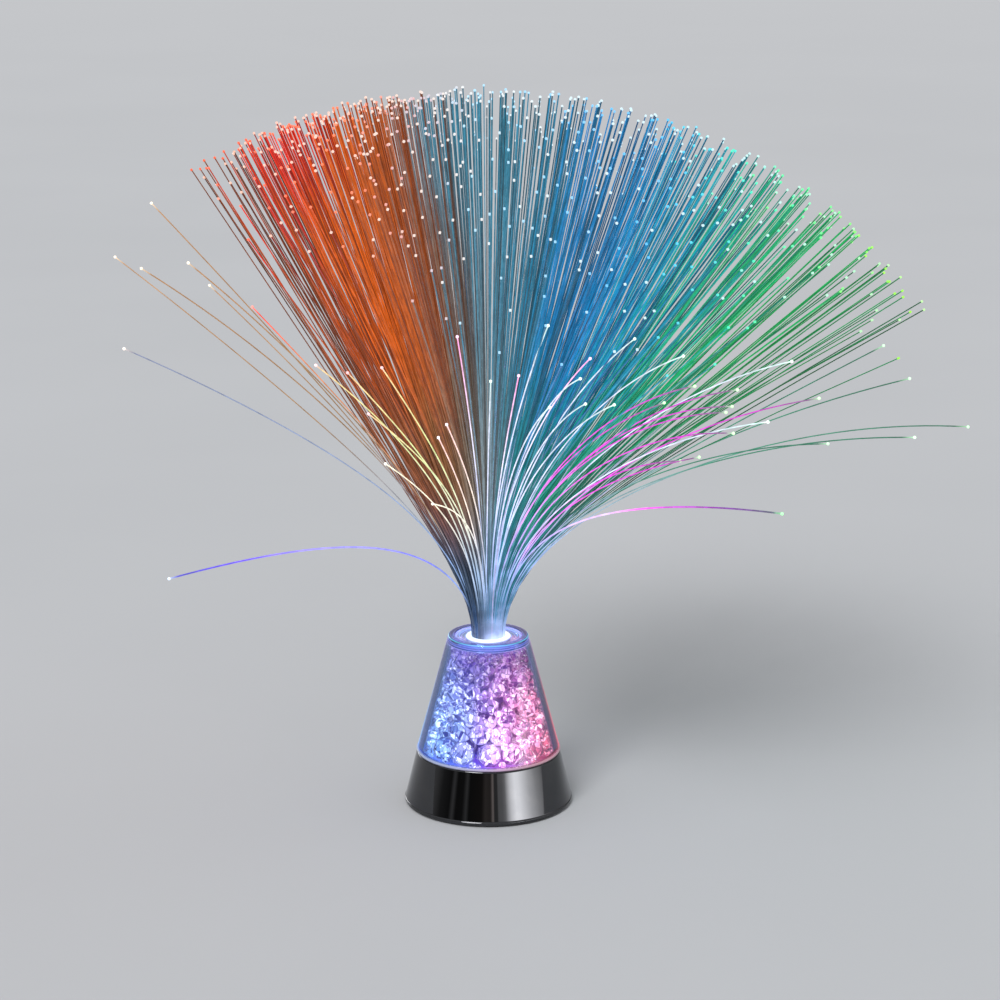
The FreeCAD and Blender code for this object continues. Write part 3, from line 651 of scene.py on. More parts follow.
def makeCrystalFinish(values):
    # clear cut chunks, seen into: painted shards of light and dark behind every face, painted glints and
    # sparkles, and painted shade in deeper chunks and at each chunk's rim
    newFinish("litCrystal", Transmission_Weight=values["clear"], IOR=1.49, Metallic=0,
        Emission_Strength=values["glow"])
    light = effect("lampColour", Drift=0.3)
    hue = light["Color"]
    rise = light["Rise"]
    glint = attribute("facetGlint")
    heading = wire("CombineXYZ", {0: glint * 37, 1: glint * 91, 2: 0.4})
    turned = wire("Mapping", {"Vector": objectPoint(), "Scale": values["shardStretch"],
        "Rotation": heading})
    shards = {"Vector": turned, "Scale": values["shardScale"], "Randomness": 1}
    cell = wires("SeparateColor", {0: wire("TexVoronoi", shards, "Color")})
    seams = wire("TexVoronoi", shards, "Distance", feature="DISTANCE_TO_EDGE")
    strength = glint * values["facetShare"] + cell["Red"] * (1 - values["facetShare"])
    strength = strength + light["Hot"] * values["hotShift"]
    # more contrast and more dark higher up
    strength = (strength - 0.5) * (rise * values["topContrast"] + 1) + (0.5 - rise * values["topShift"])
    tone = wires("SeparateColor", {0: ramp(strength, values["tones"])})
    # distance in from the cone's inner wall, which sets the painted shade of deeper chunks
    inside = values["wallAtFloor"] - axis("Z") * values["wallSlope"] - fromAxis()
    near = between(inside, values["shadeDepth"], 0.0015, values["shadeLevel"], 1)
    body = mixed(tone["Red"], dimmed(hue, values["deepTint"]), hue)
    body = mixed(tone["Green"], body, mixed(values["paleMix"], hue, values["pale"]))
    level = tone["Blue"] * values["peak"] * near * between(rise, 0.3, 1, 1, values["topLevel"])
    # painted sparkles: small bright cells that also whiten the colour, weaker in deeper chunks
    sparkleCells = wires("TexVoronoi", {"Vector": objectPoint(), "Scale": values["sparkleScale"], "Randomness": 1})
    sparkle = between(wires("SeparateColor", {0: sparkleCells["Color"]})["Red"], 0.84, 0.88)
    sparkle = sparkle * between(sparkleCells["Distance"], 0.45, 0.2) * (near * values["sparkleLevel"])
    # painted shade at each chunk's rim: the light falls to the outline share where the round normal turns
    # away
    facing = wire("LayerWeight", {"Blend": 0.5, "Normal": attribute("roundNormal", "Vector")}, "Facing")
    level = ((level * between(seams, 0.02, 0.09, 0.35, 1) + sparkle)
        * between(facing, *values["rimShadeFacing"], 1, values["outline"]))
    body = mixed(sparkle * 0.5, body, values["pale"])
    # painted glints along the cut edges
    sides = wires("SeparateXYZ", {0: attribute("edgeReach", "Vector")})
    nearest = maths("MINIMUM", maths("MINIMUM", sides["X"], sides["Y"]), sides["Z"])
    edge = between(nearest, values["edgeWidth"], values["edgeWidth"] * 0.25)
    edgeLight = dimmed(mixed(0.6, hue, (1, 0.95, 1)), cell["Green"] * near * values["edgeLight"])
    shown = mixed(edge * values["edgeShare"], dimmed(body, level), edgeLight)
    # the emission is the chunks' painted lamp light; the base colour mixes glassColour with some of the
    # lamp's hue, more of it higher up, which paints lamp light into the chunks' own colour too
    return feed(Emission_Color=dimmed(shown, values["throughWall"]),
        Base_Color=mixed(between(rise, 0.4, 1, values["tint"], 0.6), values["glassColour"], hue),
        Roughness=between(noise(400, 3), 0.35, 0.75, 0, 0.09))


placedCrystals = dropCrystals(crystalValues)
crystalShape = cutCrystals(placedCrystals, crystalValues)
crystals = putMesh("crystalFill", crystalShape, "base", ["crystals"], makeCrystalFinish(crystalValues))
markCrystals(crystals, crystalShape, placedCrystals)
print("crystals:", len(placedCrystals))

# fibres
fibreValues = {"count": 960, "length": 254, "foot": 79.4, "sides": 4, "radius": 0.3, "tipRadius": 0.64,
    "jitter": 2.2, "stops": (0, 0.03, 0.06, 0.1, 0.15, 0.21, 0.29, 0.4, 0.56, 0.76), "coreShare": 0.45,
    "coreRadius": 3.2, "sectorInner": 3.3, "sectorOuter": 7, "rootOuter": 7.5, "edgeRoom": 0.46,
    "pottingLow": 76.8, "clearance": 0.04, "glow": 1, "backRoom": 0.05, "steps": 240,
    "beadRings": (1.3, 0.85, 0.3, 0), "flareBack": 32, "flareFront": 24, "flareLeft": 0.46,
    "goldenAngle": 137.508, "lean": 27, "leanRight": 16.5, "leanFront": 2.5, "leanLeftFront": 5.5,
    "leftFrontTurn": 212, "rimLean": 5.5, "lock": 0.9, "ragged": 3, "wavy": 1.8}


def flareOf(azimuth):
    # length over which a fibre leans out; longer at the front
    front = (1 - np.sin(np.radians(azimuth))) / 2
    return fibreValues["flareBack"] + fibreValues["flareFront"] * front ** 2


def tuftFlare(azimuth):
    # the tufts' fibres lean out sooner at the left
    left = np.maximum(-np.cos(np.radians(azimuth)), 0)
    return flareOf(azimuth) * (1 - fibreValues["flareLeft"] * left ** 2)


def fibreSkins(root, azimuth, lean, droop, length, flare, values):
    # centre line: p(s) = root + integral of (cos a sin t, sin a sin t, cos t) ds with
    # t(s) = lean (1 - exp(-s / flare)) + droop (s / full length)^2; a polygon is carried along it
    steps = values["steps"]
    a = np.radians(azimuth)[:, None]
    piece = (length / steps)[:, None]
    s = (np.arange(steps) + 0.5) * piece
    tilt = lean[:, None] * (1 - np.exp(-s / flare[:, None])) + droop[:, None] * (s / values["length"]) ** 2
    tilt = np.radians(tilt)
    out = np.concatenate([np.zeros_like(a), np.cumsum(np.sin(tilt), 1) * piece], 1)
    up = np.concatenate([np.zeros_like(a), np.cumsum(np.cos(tilt), 1) * piece], 1)
    marks = np.round(np.array(values["stops"]) * steps).astype(int)
    tiltAt = tilt[:, np.minimum(marks, steps - 1)]
    # the last four rings shape the bead at the tip
    ends = np.array(values["beadRings"])
    endTilt = tilt[:, -1:]
    out = np.concatenate([out[:, marks], out[:, -1:] - ends * np.sin(endTilt)], 1)
    up = np.concatenate([up[:, marks], up[:, -1:] - ends * np.cos(endTilt)], 1)
    tiltAt = np.concatenate([tiltAt, np.repeat(endTilt, 4, 1)], 1)
    count, rings = out.shape
    centre = root[:, None] + around(out, a, up)
    across = np.stack([-np.sin(a), np.cos(a), np.zeros_like(a)], -1)
    inward = around(-np.cos(tiltAt), a, np.sin(tiltAt))
    thick = np.ones((count, rings)) * np.reshape(values["radius"], (-1, 1))
    thick[:, -3:] = values["tipRadius"] * np.array((1, 1, 0.5))
    sides = values["sides"]
    spoke = (2 * np.pi * (np.arange(sides) + 0.5) / sides)[:, None]
    ring = across[:, :, None] * np.cos(spoke) + inward[:, :, None] * np.sin(spoke)
    points = centre[:, :, None] + ring * thick[:, :, None, None]
    shift = (np.arange(count) * rings * sides)[:, None, None]
    skin = (gridFaces(rings, sides, closedRows=False)[:, ::-1][None] + shift).reshape(-1, 4)
    k = np.arange(sides)
    caps = (np.stack([k[::-1], (rings - 1) * sides + k])[None] + shift).reshape(-1, sides)
    # where each point's colour is looked up: by its fibre's direction and by its share of the length
    along = np.concatenate([np.array(values["stops"]), (0.995, 1, 1, 1)])
    angle = np.degrees(np.arctan2(centre[:, -1, 0], np.maximum(centre[:, -1, 2] - values["foot"], 1)))
    sideways = np.repeat((angle + 60) / 120, rings * sides)
    lengthways = np.tile(np.repeat(along, sides), count)
    return (points.reshape(-1, 3), [skin, caps]), sideways, lengthways, rings * sides


def writeStrandData(piece, sideways, lengthways, perStrand, extra):
    # UV map of colour place and length, and one value for each strand; the potting's points come last
    mesh = piece.data
    corners = np.empty(len(mesh.loops), np.int64)
    mesh.loops.foreach_get("vertex_index", corners)
    uv = np.zeros((len(mesh.vertices), 2), np.float32)
    uv[:, 0] = 0.5
    uv[:len(sideways), 0] = sideways
    uv[:len(sideways), 1] = lengthways
    layer = mesh.uv_layers.new(name="strandMap")
    layer.data.foreach_set("uv", uv[corners].ravel())
    tone = np.full(len(mesh.vertices), 0.5)
    tone[:len(sideways)] = np.repeat(extra, perStrand)
    writeLayer(piece, "strandTone", "FLOAT", "POINT", tone)


# colours by direction in thousandths, as (place, red, green, blue), place 500 being straight up
strandColours = {
    "upper": ((100, 50, 25, 14), (200, 80, 30, 10), (260, 140, 34, 8), (310, 270, 40, 3), (360, 380, 64, 4),
        (410, 300, 60, 7), (450, 120, 68, 42), (480, 85, 110, 130), (510, 45, 130, 180),
        (560, 10, 125, 210), (610, 5, 110, 270), (660, 4, 130, 300), (710, 4, 165, 250), (755, 6, 210, 170),
        (800, 6, 250, 95), (860, 5, 210, 45), (920, 4, 120, 40), (970, 20, 60, 50), (1000, 100, 20, 140)),
    "middle": ((300, 160, 50, 20), (400, 150, 70, 30), (460, 130, 110, 90), (510, 120, 160, 180),
        (570, 20, 140, 170), (650, 6, 140, 140), (750, 6, 180, 100), (900, 8, 100, 60)),
    "neck": ((250, 20, 36, 65), (380, 38, 56, 85), (460, 75, 110, 150), (520, 65, 140, 200),
        (620, 30, 140, 200), (750, 26, 130, 170)),
    "foot": ((250, 10, 28, 85), (420, 20, 75, 190), (550, 50, 160, 340), (800, 60, 180, 360)),
    "paleTip": ((200, 1000, 520, 360), (400, 1000, 800, 700), (520, 840, 950, 1000), (700, 660, 940, 1000),
        (800, 520, 1000, 720), (900, 600, 1000, 420)),
    "deepTip": ((200, 1000, 120, 50), (400, 1000, 280, 160), (500, 550, 820, 1000), (660, 120, 560, 1000),
        (760, 100, 950, 500), (900, 420, 1000, 60)),
}


def makeStrandLight():
    # colours of the spray: hue across, paler neck below, tip light at the very end
    takes = startGroup("strandLight", Across=("Float", 0.5), Along=("Float", 0.5), Tone=("Float", 0.5))
    along = takes["Along"]
    tone = takes["Tone"]
    across = maths("ADD", takes["Across"], (tone - 0.5) * 0.05, clamp=True)
    upper, middle, neck, foot, paleTip, deepTip = [ramp(across, np.array(stops) / 1000)
        for stops in strandColours.values()]
    redShare = between(across, 0.265, 0.3) * between(across, 0.38, 0.33)
    upper = mixed(between(along, 0.8, 1) * redShare, upper, (0.44, 0.011, 0.006))
    tealShare = between(across, 0.43, 0.47) * between(across, 0.58, 0.53)
    upper = mixed(between(along, 0.66, 0.96) * tealShare, upper, (0.02, 0.12, 0.18))
    body = mixed(between(along, 0.36, 0.66), middle, upper)
    body = mixed(between(along, 0.12, 0.36), neck, body)
    footLight = between(along, 0.055, 0) * between(across, 0.36, 0.54, 0.15, 1)
    foot = mixed(footLight, foot, (0.34, 0.44, 0.72))
    lit = mixed(between(along, 0, 0.12), foot, body)
    lilac = between(tone, 0.84, 0.9) * between(across, 0.5, 0.62) * between(along, 0.58, 0.3)
    lit = mixed(lilac * 0.8, lit, (0.34, 0.3, 0.5))
    return endGroup(Color=dimmed(lit, between(tone, 0, 1, 0.45, 1.5)), Tip=between(along, 0.996, 0.999),
        Tip_Color=mixed(between(tone, 0.45, 0.55), paleTip, deepTip))


groups["strandLight"] = makeStrandLight()


def shimmering(colour, dimmest, brightest):
    # soft beads of light along a strand; its light goes into its base colour as painted light as well, and
    # the beads into its roughness
    beads = noise(160, 2)
    shimmer = dimmed(colour, between(beads, 0.3, 0.7, dimmest, brightest))
    feed(Base_Color=dimmed(shimmer, (0.6, 0.6, 0.6)), Roughness=between(beads, 0.3, 0.7, 0.16, 0.36))
    return shimmer


def makeFibreFinish(values):
    newFinish("litFibre", Emission_Strength=values["glow"])
    flat = wires("SeparateXYZ", {0: wire("UVMap", {}, uv_map="strandMap")})
    light = effect("strandLight", Across=flat["X"], Along=flat["Y"], Tone=attribute("strandTone"))
    shimmer = shimmering(light["Color"], 0.75, 1.2)
    return feed(Emission_Color=mixed(light["Tip"], shimmer, light["Tip Color"]))


def pottingOutline(group, values):
    # the middle tuft's foot is a disc, and the others' are eighths of a ring round it, a little apart
    if group == 0:
        return around(values["coreRadius"], np.radians(np.arange(40) * 9))[:, :2]
    edge = (group - 1) * 45 + np.linspace(0, 45, 13)
    sides = []
    for radius, angles in ((values["sectorOuter"], edge), (values["sectorInner"], edge[::-4])):
        gap = np.degrees(values["clearance"] / radius)
        sides.append(around(radius, np.radians(np.clip(angles, edge[0] + gap, edge[-1] - gap))))
    return np.vstack(sides)[:, :2]


def putTufts(values, finish):
    # roots, directions and lengths of all fibres, then one piece for the middle and one for each sector
    number = np.arange(values["count"])
    share = np.sqrt((number + 0.5) / values["count"])
    azimuth = (number * values["goldenAngle"]) % 360
    turn = np.radians(azimuth)
    right = 0.5 + 0.5 * np.cos(turn)
    front = np.maximum(-np.sin(turn), 0)
    leftFront = np.maximum(np.cos(turn - math.radians(values["leftFrontTurn"])), 0) ** 6
    dense = values["lean"] + values["leanRight"] * right + values["leanFront"] * front
    dense = dense - values["leanLeftFront"] * leftFront
    clump = 1 + 0.05 * np.sin(5 * turn + 2) + 0.03 * np.sin(11 * turn + 0.7)
    reach = np.minimum(share, 1 - values["backRoom"] * np.maximum(np.sin(turn), 0) ** 2)
    meanTilt = clump * (dense * reach ** 0.9 + values["rimLean"] * reach ** 14)
    lean = meanTilt / (1 - tuftFlare(azimuth) / values["length"])
    lock = np.sin(7 * turn + 11 * share) + 0.7 * np.sin(13 * turn - 17 * share + 1.3)
    lean = lean + (values["jitter"] * (scatter(number, 8) - 0.5) + values["lock"] * lock) * share
    length = values["length"] - values["ragged"] * scatter(number, 3)
    length = length - values["wavy"] * (1.7 + np.sin(17 * turn + 23 * share))
    inCore = share < values["coreShare"]
    inner = values["sectorInner"] + values["edgeRoom"]
    radius = np.where(inCore, (values["coreRadius"] - values["edgeRoom"]) * share / values["coreShare"],
        inner + (values["rootOuter"] - inner) * (share - values["coreShare"]) / (1 - values["coreShare"]))
    sector = (azimuth // 45).astype(int)
    middle = (sector + 0.5) * 45
    room = 22.5 - np.degrees(values["edgeRoom"] / np.maximum(radius, 1))
    rootTurn = np.radians(np.where(inCore, azimuth, middle + (azimuth - middle) * room / 22.5))
    root = around(radius, rootTurn, values["foot"])
    heading = azimuth + 5 * (scatter(number, 9) - 0.5) + 1.6 * np.sin(9 * turn - 13 * share)
    heading = np.where(inCore, heading, np.clip(heading, middle - 22.3, middle + 22.3))
    for group in range(9):
        chosen = inCore if group == 0 else (~inCore & (sector == group - 1))
        skin, *colourPlace = fibreSkins(root[chosen], heading[chosen], lean[chosen], np.zeros(chosen.sum()),
            length[chosen], tuftFlare(heading[chosen]), values)
        potting = prism(pottingOutline(group, values), values["pottingLow"], values["foot"])
        name = "tuft%d" % group if group else "tuftMiddle"
        cadName = "fibre_tuft_%d" % group if group else "fibre_tuft_middle"
        tuft = putMesh(name, joined([skin, potting]), "spray", [cadName], finish, sharp=60)
        writeStrandData(tuft, *colourPlace, scatter(number[chosen], 4))


putTufts(fibreValues, makeFibreFinish(fibreValues))
print("tufts made:", fibreValues["count"], "fibres")

# loose fibres
# each side has its first root's angle and the angle between roots, then the strands that share a light, as
# (heading, lean and droop in degrees, length)
looseValues = {
    "rootRadius": 7.5,
    "section": {"stops": tuple(k / 40 for k in range(40)), "sides": 6},
    "glow": 1.2,
    "radius": 0.27,
    "thickRadius": 0.36,
    "thick": ("violet", "droop"),
    "ownColourFrom": 15,
    "firstTint": (0.44, 0.56, 0.72),
    "footColour": (0.7, 0.8, 1, 1),
    "footStops": ((0, 38, 46, 74), (3, 20, 29, 50), (7, 9, 18, 32)),
    "left": (137, 11.5, ("amber", (137, 59, 4, 235), (158, 54, 4, 252), (172, 42, 2, 250),
        (200, 43, 14, 242), (203, 40, 11, 231)), ("redTip", (219, 45, 0, 211)),
        ("slate", (220, 58, 5, 254)), ("violet", (225, 89, 5, 206))),
    "front": (236, 5, ("lime", (250, 58, 5, 256)), ("cream", (251, 67, 0, 170)),
        ("lime", (254, 61, 0, 256), (256, 58, 0, 236), (257, 65, 2, 256)), ("rose", (259, 59, 0, 162)),
        ("cream", (262, 76, 0, 196)), ("rose", (264, 64, 0, 215)), ("pink", (275, 56, 0, 215)),
        ("lilac", (277, 60, 11, 256), (281, 52, 21, 256), (283, 55, 20, 231))),
    "right": (297, 5, ("magenta", (295, 54, 20, 256), (298, 57, 21, 256), (299, 55, 24, 256),
        (300, 59, 23, 245)), ("droop", (301, 76, 6, 256)), ("magenta", (302, 66, 12, 204),
        (306, 58, 43, 179)), ("pine", (321, 62, 25, 224), (325, 64, 19, 256), (336, 60, 13, 245),
        (342, 62, 27, 256), (348, 60, 0, 230))),
    "between": (258.5, 5, ("pink", (266, 51, 4, 232)), ("lilac", (271, 56, 4, 218), (279, 49, 10, 246)),
        ("pink", (284, 52, 14, 246)), ("lilac", (287, 57, 16, 236), (290, 49, 16, 250)),
        ("magenta", (293, 58, 14, 240)), ("lilac", (296, 49, 22, 250)), ("magenta", (303, 53, 24, 246)),
        ("lilac", (308, 60, 18, 236), (312, 51, 22, 250)), ("magenta", (317, 57, 20, 240))),
}
# colours along a loose fibre in hundredths, as (share of its length, red, green, blue)
looseLight = {
    "amber": ((0, 50, 60, 80), (20, 20, 26, 34), (50, 22, 13, 6), (99, 30, 16, 7), (100, 100, 85, 65)),
    "redTip": ((0, 50, 60, 80), (30, 26, 18, 12), (80, 55, 20, 8), (99, 75, 5, 4), (100, 100, 30, 25)),
    "slate": ((0, 45, 55, 75), (40, 20, 26, 40), (99, 16, 18, 26), (100, 100, 85, 75)),
    "violet": ((0, 45, 52, 80), (25, 16, 18, 70), (60, 30, 26, 100), (80, 13, 8, 75), (99, 6, 6, 35),
        (100, 65, 80, 100)),
    "lime": ((0, 60, 66, 74), (30, 62, 62, 50), (60, 60, 68, 28), (99, 75, 50, 22), (100, 100, 55, 55)),
    "cream": ((0, 60, 66, 78), (50, 75, 70, 55), (99, 95, 88, 62), (100, 100, 96, 80)),
    "rose": ((0, 60, 64, 78), (50, 78, 66, 56), (99, 90, 55, 50), (100, 100, 90, 95)),
    "pink": ((0, 65, 72, 95), (60, 70, 68, 85), (99, 90, 30, 60), (100, 100, 60, 80)),
    "lilac": ((0, 68, 76, 100), (40, 62, 66, 90), (80, 55, 60, 72), (99, 50, 68, 64), (100, 80, 100, 85)),
    "magenta": ((0, 55, 58, 85), (30, 62, 34, 85), (50, 75, 7, 66), (85, 48, 2, 44), (99, 14, 10, 16),
        (100, 55, 100, 50)),
    "droop": ((0, 55, 60, 85), (30, 48, 36, 85), (50, 72, 50, 95), (60, 100, 10, 80), (68, 50, 6, 55),
        (85, 16, 4, 26), (99, 8, 10, 12), (100, 35, 100, 40)),
    "pine": ((0, 60, 66, 90), (30, 26, 34, 42), (60, 5, 20, 13), (99, 2, 10, 6), (100, 60, 100, 62)),
}


def makeLooseFinish(values):
    newFinish("litLooseFibre", Emission_Strength=values["glow"])
    return feed(Emission_Color=shimmering(attribute("strandColour", "Color"), 0.8, 1.15))


def strandStops(light, rootTurn, values):
    # a strand starts in the foot's colours, dimmer at the left, and then takes its own
    stops = np.array(values["footStops"] + tuple((max(row[0], values["ownColourFrom"]), *row[1:])
        for row in looseLight[light])) / 100
    stops[:3, 1:] *= 0.25 + 0.75 * min(max((np.cos(rootTurn) + 0.5) / 0.8, 0), 1)
    stops[3, 1:] *= values["firstTint"]
    return stops


def putLooseFibres(side, values, finish):
    rows = [values[key] for key in ((side, "between") if side == "front" else (side,))]
    strands = [[(strand, light) for light, *group in row[2:] for strand in group] for row in rows]
    rootTurn = np.radians(np.concatenate([row[0] + row[1] * np.arange(len(part))
        for row, part in zip(rows, strands)]))
    table = np.array([strand for part in strands for strand, light in part], float)
    lights = [light for part in strands for strand, light in part]
    radius = np.array([values["thickRadius" if light in values["thick"] else "radius"] for light in lights])
    low = fibreValues["pottingLow"]
    roots = around(values["rootRadius"], rootTurn, low + 2.6)
    skin, sideways, lengthways, perStrand = fibreSkins(roots, *table.T, flareOf(table[:, 0]),
        {**fibreValues, **values["section"], "radius": radius})
    foot = [(0.02, low), (0.27, low), (0.27, low + 2.7), (0.02, low + 2.7)]
    feet = [turnedSurface(foot, 6, x, y) for x, y, z in roots]
    loose = putMesh("loose" + side.capitalize(), joined([skin] + feet), "spray", ["loose_fibres_" + side],
        finish, sharp=60)
    colours = np.tile(values["footColour"], (len(loose.data.vertices), 1))
    for k, light in enumerate(lights):
        stops = strandStops(light, rootTurn[k], values)
        part = slice(k * perStrand, (k + 1) * perStrand)
        for channel in range(3):
            colours[part, channel] = np.interp(lengthways[part], stops[:, 0], stops[:, channel + 1])
    writeLayer(loose, "strandColour", "FLOAT_COLOR", "POINT", colours)


looseFinish = makeLooseFinish(looseValues)
for side in ("left", "front", "right"):
    putLooseFibres(side, looseValues, looseFinish)
print("loose fibres made")

# finishes of the carried-over nodes
carried = {
    "cover_plastic": {"colour": (0.022, 0.022, 0.025), "rough": 0.5, "grain": 1600, "wear": 0.3,
        "dust": 0.25, "bump": 0.5, "nodes": ("bottom_cover", "battery_door")},
    "screw_steel": {"colour": (0.52, 0.52, 0.54), "rough": 0.3, "grain": 1200, "wear": 0.35, "metal": 1,
        "lines": 0.3, "lineScale": 260, "nodes": ("cover_screws", "door_screws", "board_screws")},
    "contact_steel": {"colour": (0.62, 0.61, 0.58), "rough": 0.24, "grain": 800, "wear": 0.3, "metal": 1,
        "lines": 0.35, "lineScale": 220, "across": (0.05, 1, 1),
        "nodes": ("contact_plates", "battery_springs")},
    "switch_plastic": {"colour": (0.014, 0.014, 0.016), "rough": 0.42, "grain": 2000, "wear": 0.35,
        "nodes": ("switch_body", "switch_knob")},
    "chip": {"colour": (0.02, 0.02, 0.022), "rough": 0.6, "grain": 2600,
        "nodes": ("driver_chip", "resistors")},
    "red_wire": {"colour": (0.42, 0.012, 0.01), "rough": 0.32, "grain": 700, "wear": 0.3,
        "nodes": ("red_lead", "switch_lead")},
    "black_wire": {"colour": (0.012, 0.012, 0.013), "rough": 0.32, "grain": 700, "wear": 0.3,
        "nodes": ("black_lead",)},
}


def dress(names, finish):
    for name in names:
        slots = nodes[name].data.materials
        if not slots:
            slots.append(finish)
        for number in range(len(slots)):
            slots[number] = finish


for slotName, values in carried.items():
    dress(values["nodes"], solidFinish(slotName + "Finish", values, Metallic=values.get("metal", 0)))


def makeCellFinish():
    # plain sleeve with a pale band near one end and bare steel ends
    newFinish("cellSleeve", Coat_Weight=0.3)
    sleeve = surfaceDetail({"colour": (0.03, 0.035, 0.045), "rough": 0.26, "grain": 500, "wear": 0.3,
        "bump": 0.1})
    far = maths("ABSOLUTE", axis("X"))
    band = between(far, 0.0135, 0.0137) * between(far, 0.0203, 0.0201)
    steel = between(far, 0.02155, 0.02165)
    return feed(Base_Color=mixed(steel, mixed(band, sleeve, (0.62, 0.45, 0.2)), (0.6, 0.6, 0.6)),
        Metallic=steel)


def makeBoardFinish():
    # green mask over copper tracks, with bare pads
    newFinish("circuitBoard", Coat_Weight=0.5)
    mask = surfaceDetail({"colour": (0.008, 0.11, 0.045), "rough": 0.3, "grain": 1500, "wear": 0.2,
        "bump": 0.2})
    cells = wire("TexBrick", {"Vector": objectPoint(), "Scale": 130, "Mortar Size": 0.05, "Color1": black,
        "Color2": black, "Mortar": (1, 1, 1)}, "Color", offset=0.37)
    dots = wire("TexVoronoi", {"Vector": objectPoint(), "Scale": 210, "Randomness": 0.15}, "Distance")
    pads = between(dots, 0.16, 0.13)
    return feed(Base_Color=mixed(pads, mixed(cells, mask, (0.03, 0.26, 0.12)), (0.62, 0.48, 0.22)),
        Metallic=pads)


def makeLitFinish(name, base, glow, clear, paleness):
    # clear or milky parts that carry the light of the LEDs
    newFinish(name, Transmission_Weight=clear, IOR=1.49, Metallic=0, Emission_Strength=glow)
    light = effect("lampColour", Drift=0.35)
    detail = effect("grain", Scale=500, Wear=0.4)
    hue = light["Color"] if paleness else dimmed(light["Color"], light["Color"])
    shade = mixed(maths("MAXIMUM", light["Hot"] * 0.4, paleness), hue, (0.92, 0.9, 1))
    return feed(Base_Color=mixed(detail["Shade"], base, (0.96, 0.97, 1)),
        Emission_Color=mixed(detail["Shade"] * 0.8, shade, (0.05, 0.02, 0.2)),
        Roughness=detail["Height"] * 0.18 + 0.05)


dress(("battery_1", "battery_2", "battery_3"), makeCellFinish())
dress(("led_board",), makeBoardFinish())
dress(("centre_leds", "ring_leds"), makeLitFinish("ledEpoxy", (0.85, 0.88, 0.92), 1, 0.2, 0.4))
dress(("light_plate",), makeLitFinish("litPlate", (0.1, 0.05, 0.3), 0.9, 0.1, 0))
dress(("centre_tube",), makeLitFinish("litTube", (0.16, 0.1, 0.42), 0.1, 0.2, 0))
dress(("bundle_core",), makeLitFinish("potting", (0.78, 0.84, 0.95), 0.6, 0.2, 0.5))
print("carried-over nodes dressed")

# floor, lamps and camera
studio = {"tone": (0.56, 0.57, 0.59), "darkTone": (0.545, 0.555, 0.575), "ambient": 0.58,
    "ambientTint": (0.98, 0.99, 1), "sun": 1.75, "sunAngle": 24, "sunTurn": (38, -24, 0), "cardLevel": 8.6,
    "cardRadius": 1900, "cardHeights": (2, 420), "cardFade": (0.262, 0.285), "floorHeight": -0.3,
    "floorFade": (1.2, 5), "lens": 108, "sensorWidth": 36, "clip": (0.05, 200),
    "cameraPlace": (0.0054, -1.322, 0.494), "cameraPitch": 14.83,
    "cards": ((-180, 0.02), (-168, 0.02), (-158, 0.4), (-138, 0.75), (-124, 0.06), (-96, 0.05), (-84, 0.04),
    (-70, 0.012), (-56, 0.006), (-51, 0.035), (-46, 0.005), (-36, 0.006), (-31, 0.03), (-27, 0.005),
    (-9, 0.008), (-4, 0.028), (4, 0.02), (4.8, 0.12), (7.4, 0.13), (8.2, 0.025), (13.4, 0.028), (14, 0.085),
    (20, 0.1), (24, 0.16), (32, 0.72), (39, 1), (45, 0.95), (62, 0.47), (74, 0.27), (90, 0.11), (112, 0.02),
    (180, 0.02))}


def seenRays():
    # 1 for rays that come straight from the camera, or by way of a mirror or clear body
    path = wires("LightPath")
    return maths("MAXIMUM", path["Is Camera Ray"], maths("MAXIMUM", path["Is Glossy Ray"],
        path["Is Transmission Ray"]))


def makeFloor():
    # flat disc p(r, a) = (r cos a, r sin a), pale and matt
    finish = newFinish("paleFloor", Roughness=1, Specular_IOR_Level=0)
    feed(Base_Color=mixed(between(noise(3, 3), 0.3, 0.7), studio["darkTone"], studio["tone"]))
    away = wire("VectorMath", {0: objectPoint()}, "Value", operation="LENGTH")
    setSurface(between(away, *studio["floorFade"]) * seenRays(), Wire(building["shader"].outputs[0]),
        wire("Emission", {"Color": studio["tone"]}))
    radii = np.concatenate([[0.0001], np.geomspace(0.05, 60, 24)]) * 1000
    points = around(radii, fullTurn(96), studio["floorHeight"]).reshape(-1, 3)
    floor = newPiece("floor", (points, [gridFaces(96, len(radii), closedColumns=False)[:, ::-1]]), finish)


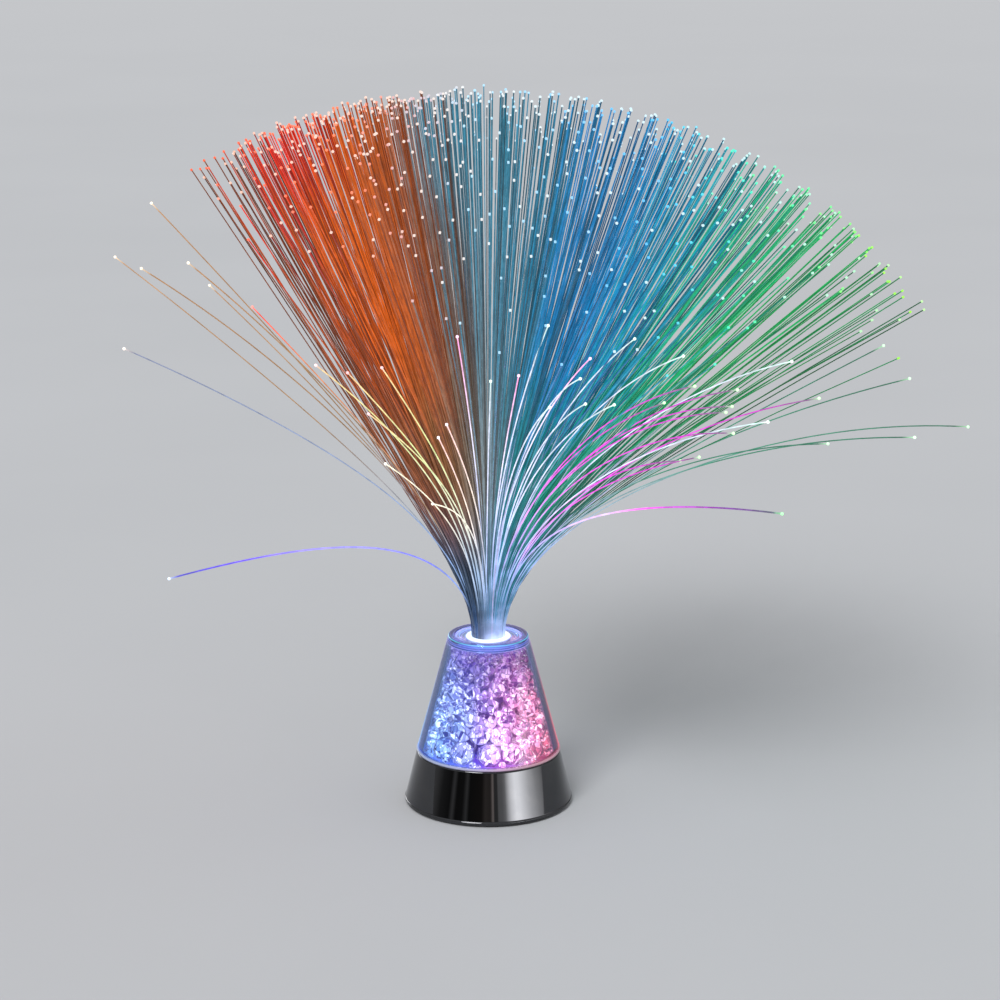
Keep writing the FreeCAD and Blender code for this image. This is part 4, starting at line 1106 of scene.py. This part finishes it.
def makeReflectorRing():
    # low ring of cards that only gloss sees: a soft box to the right, a weaker one behind, dim streaks left
    finish = newFinish("reflectorCard")
    share = maths("ARCTAN2", axis("X"), axis("Y") * -1) * (0.5 / math.pi) + 0.5
    # the cards near the middle are a little warmer
    stops = [((a + 180) / 360, v, v * (0.86 if -10 < a < 8 else 1), v * (0.8 if -10 < a < 8 else 1.01))
        for a, v in studio["cards"]]
    glow = wire("Emission", {"Color": ramp(share, stops),
        "Strength": between(axis("Z"), *studio["cardFade"], studio["cardLevel"], 0.1)})
    plug(building["tree"].nodes["Material Output"].inputs["Surface"], glow)
    points = around(studio["cardRadius"], fullTurn(180), np.array(studio["cardHeights"])).reshape(-1, 3)
    ring = newPiece("reflectorRing", (points, [gridFaces(180, 2, closedColumns=False)]), finish)
    for ray in ("camera", "diffuse", "transmission", "shadow", "volume_scatter"):
        setattr(ring, "visible_" + ray, False)


def makeLamps():
    sun = bpy.data.lights.new("softSun", "SUN")
    sun.energy = studio["sun"]
    sun.angle = math.radians(studio["sunAngle"])
    holder = bpy.data.objects.new("softSun", sun)
    holder.rotation_euler = [math.radians(angle) for angle in studio["sunTurn"]]
    scene.collection.objects.link(holder)


def makeWorld():
    world = bpy.data.worlds.new("studioWorld")
    scene.world = world
    world.use_nodes = True
    building["tree"] = world.node_tree
    world.node_tree.nodes.clear()
    ambient = wire("Background", {"Color": studio["ambientTint"], "Strength": studio["ambient"]})
    tone = wire("Background", {"Color": studio["tone"], "Strength": 1})
    addNode("OutputWorld", {"Surface": wire("MixShader", {0: seenRays(), 1: ambient, 2: tone})})


def makeCamera():
    data = bpy.data.cameras.new("camera")
    data.lens = studio["lens"]
    data.sensor_width = studio["sensorWidth"]
    data.clip_start, data.clip_end = studio["clip"]
    camera = bpy.data.objects.new("camera", data)
    camera.location = studio["cameraPlace"]
    camera.rotation_euler = (math.radians(90 - studio["cameraPitch"]), 0, 0)
    scene.collection.objects.link(camera)
    scene.camera = camera


makeFloor()
makeReflectorRing()
makeLamps()
makeWorld()
makeCamera()
scene.view_settings.view_transform = "Standard"
print("studio ready")
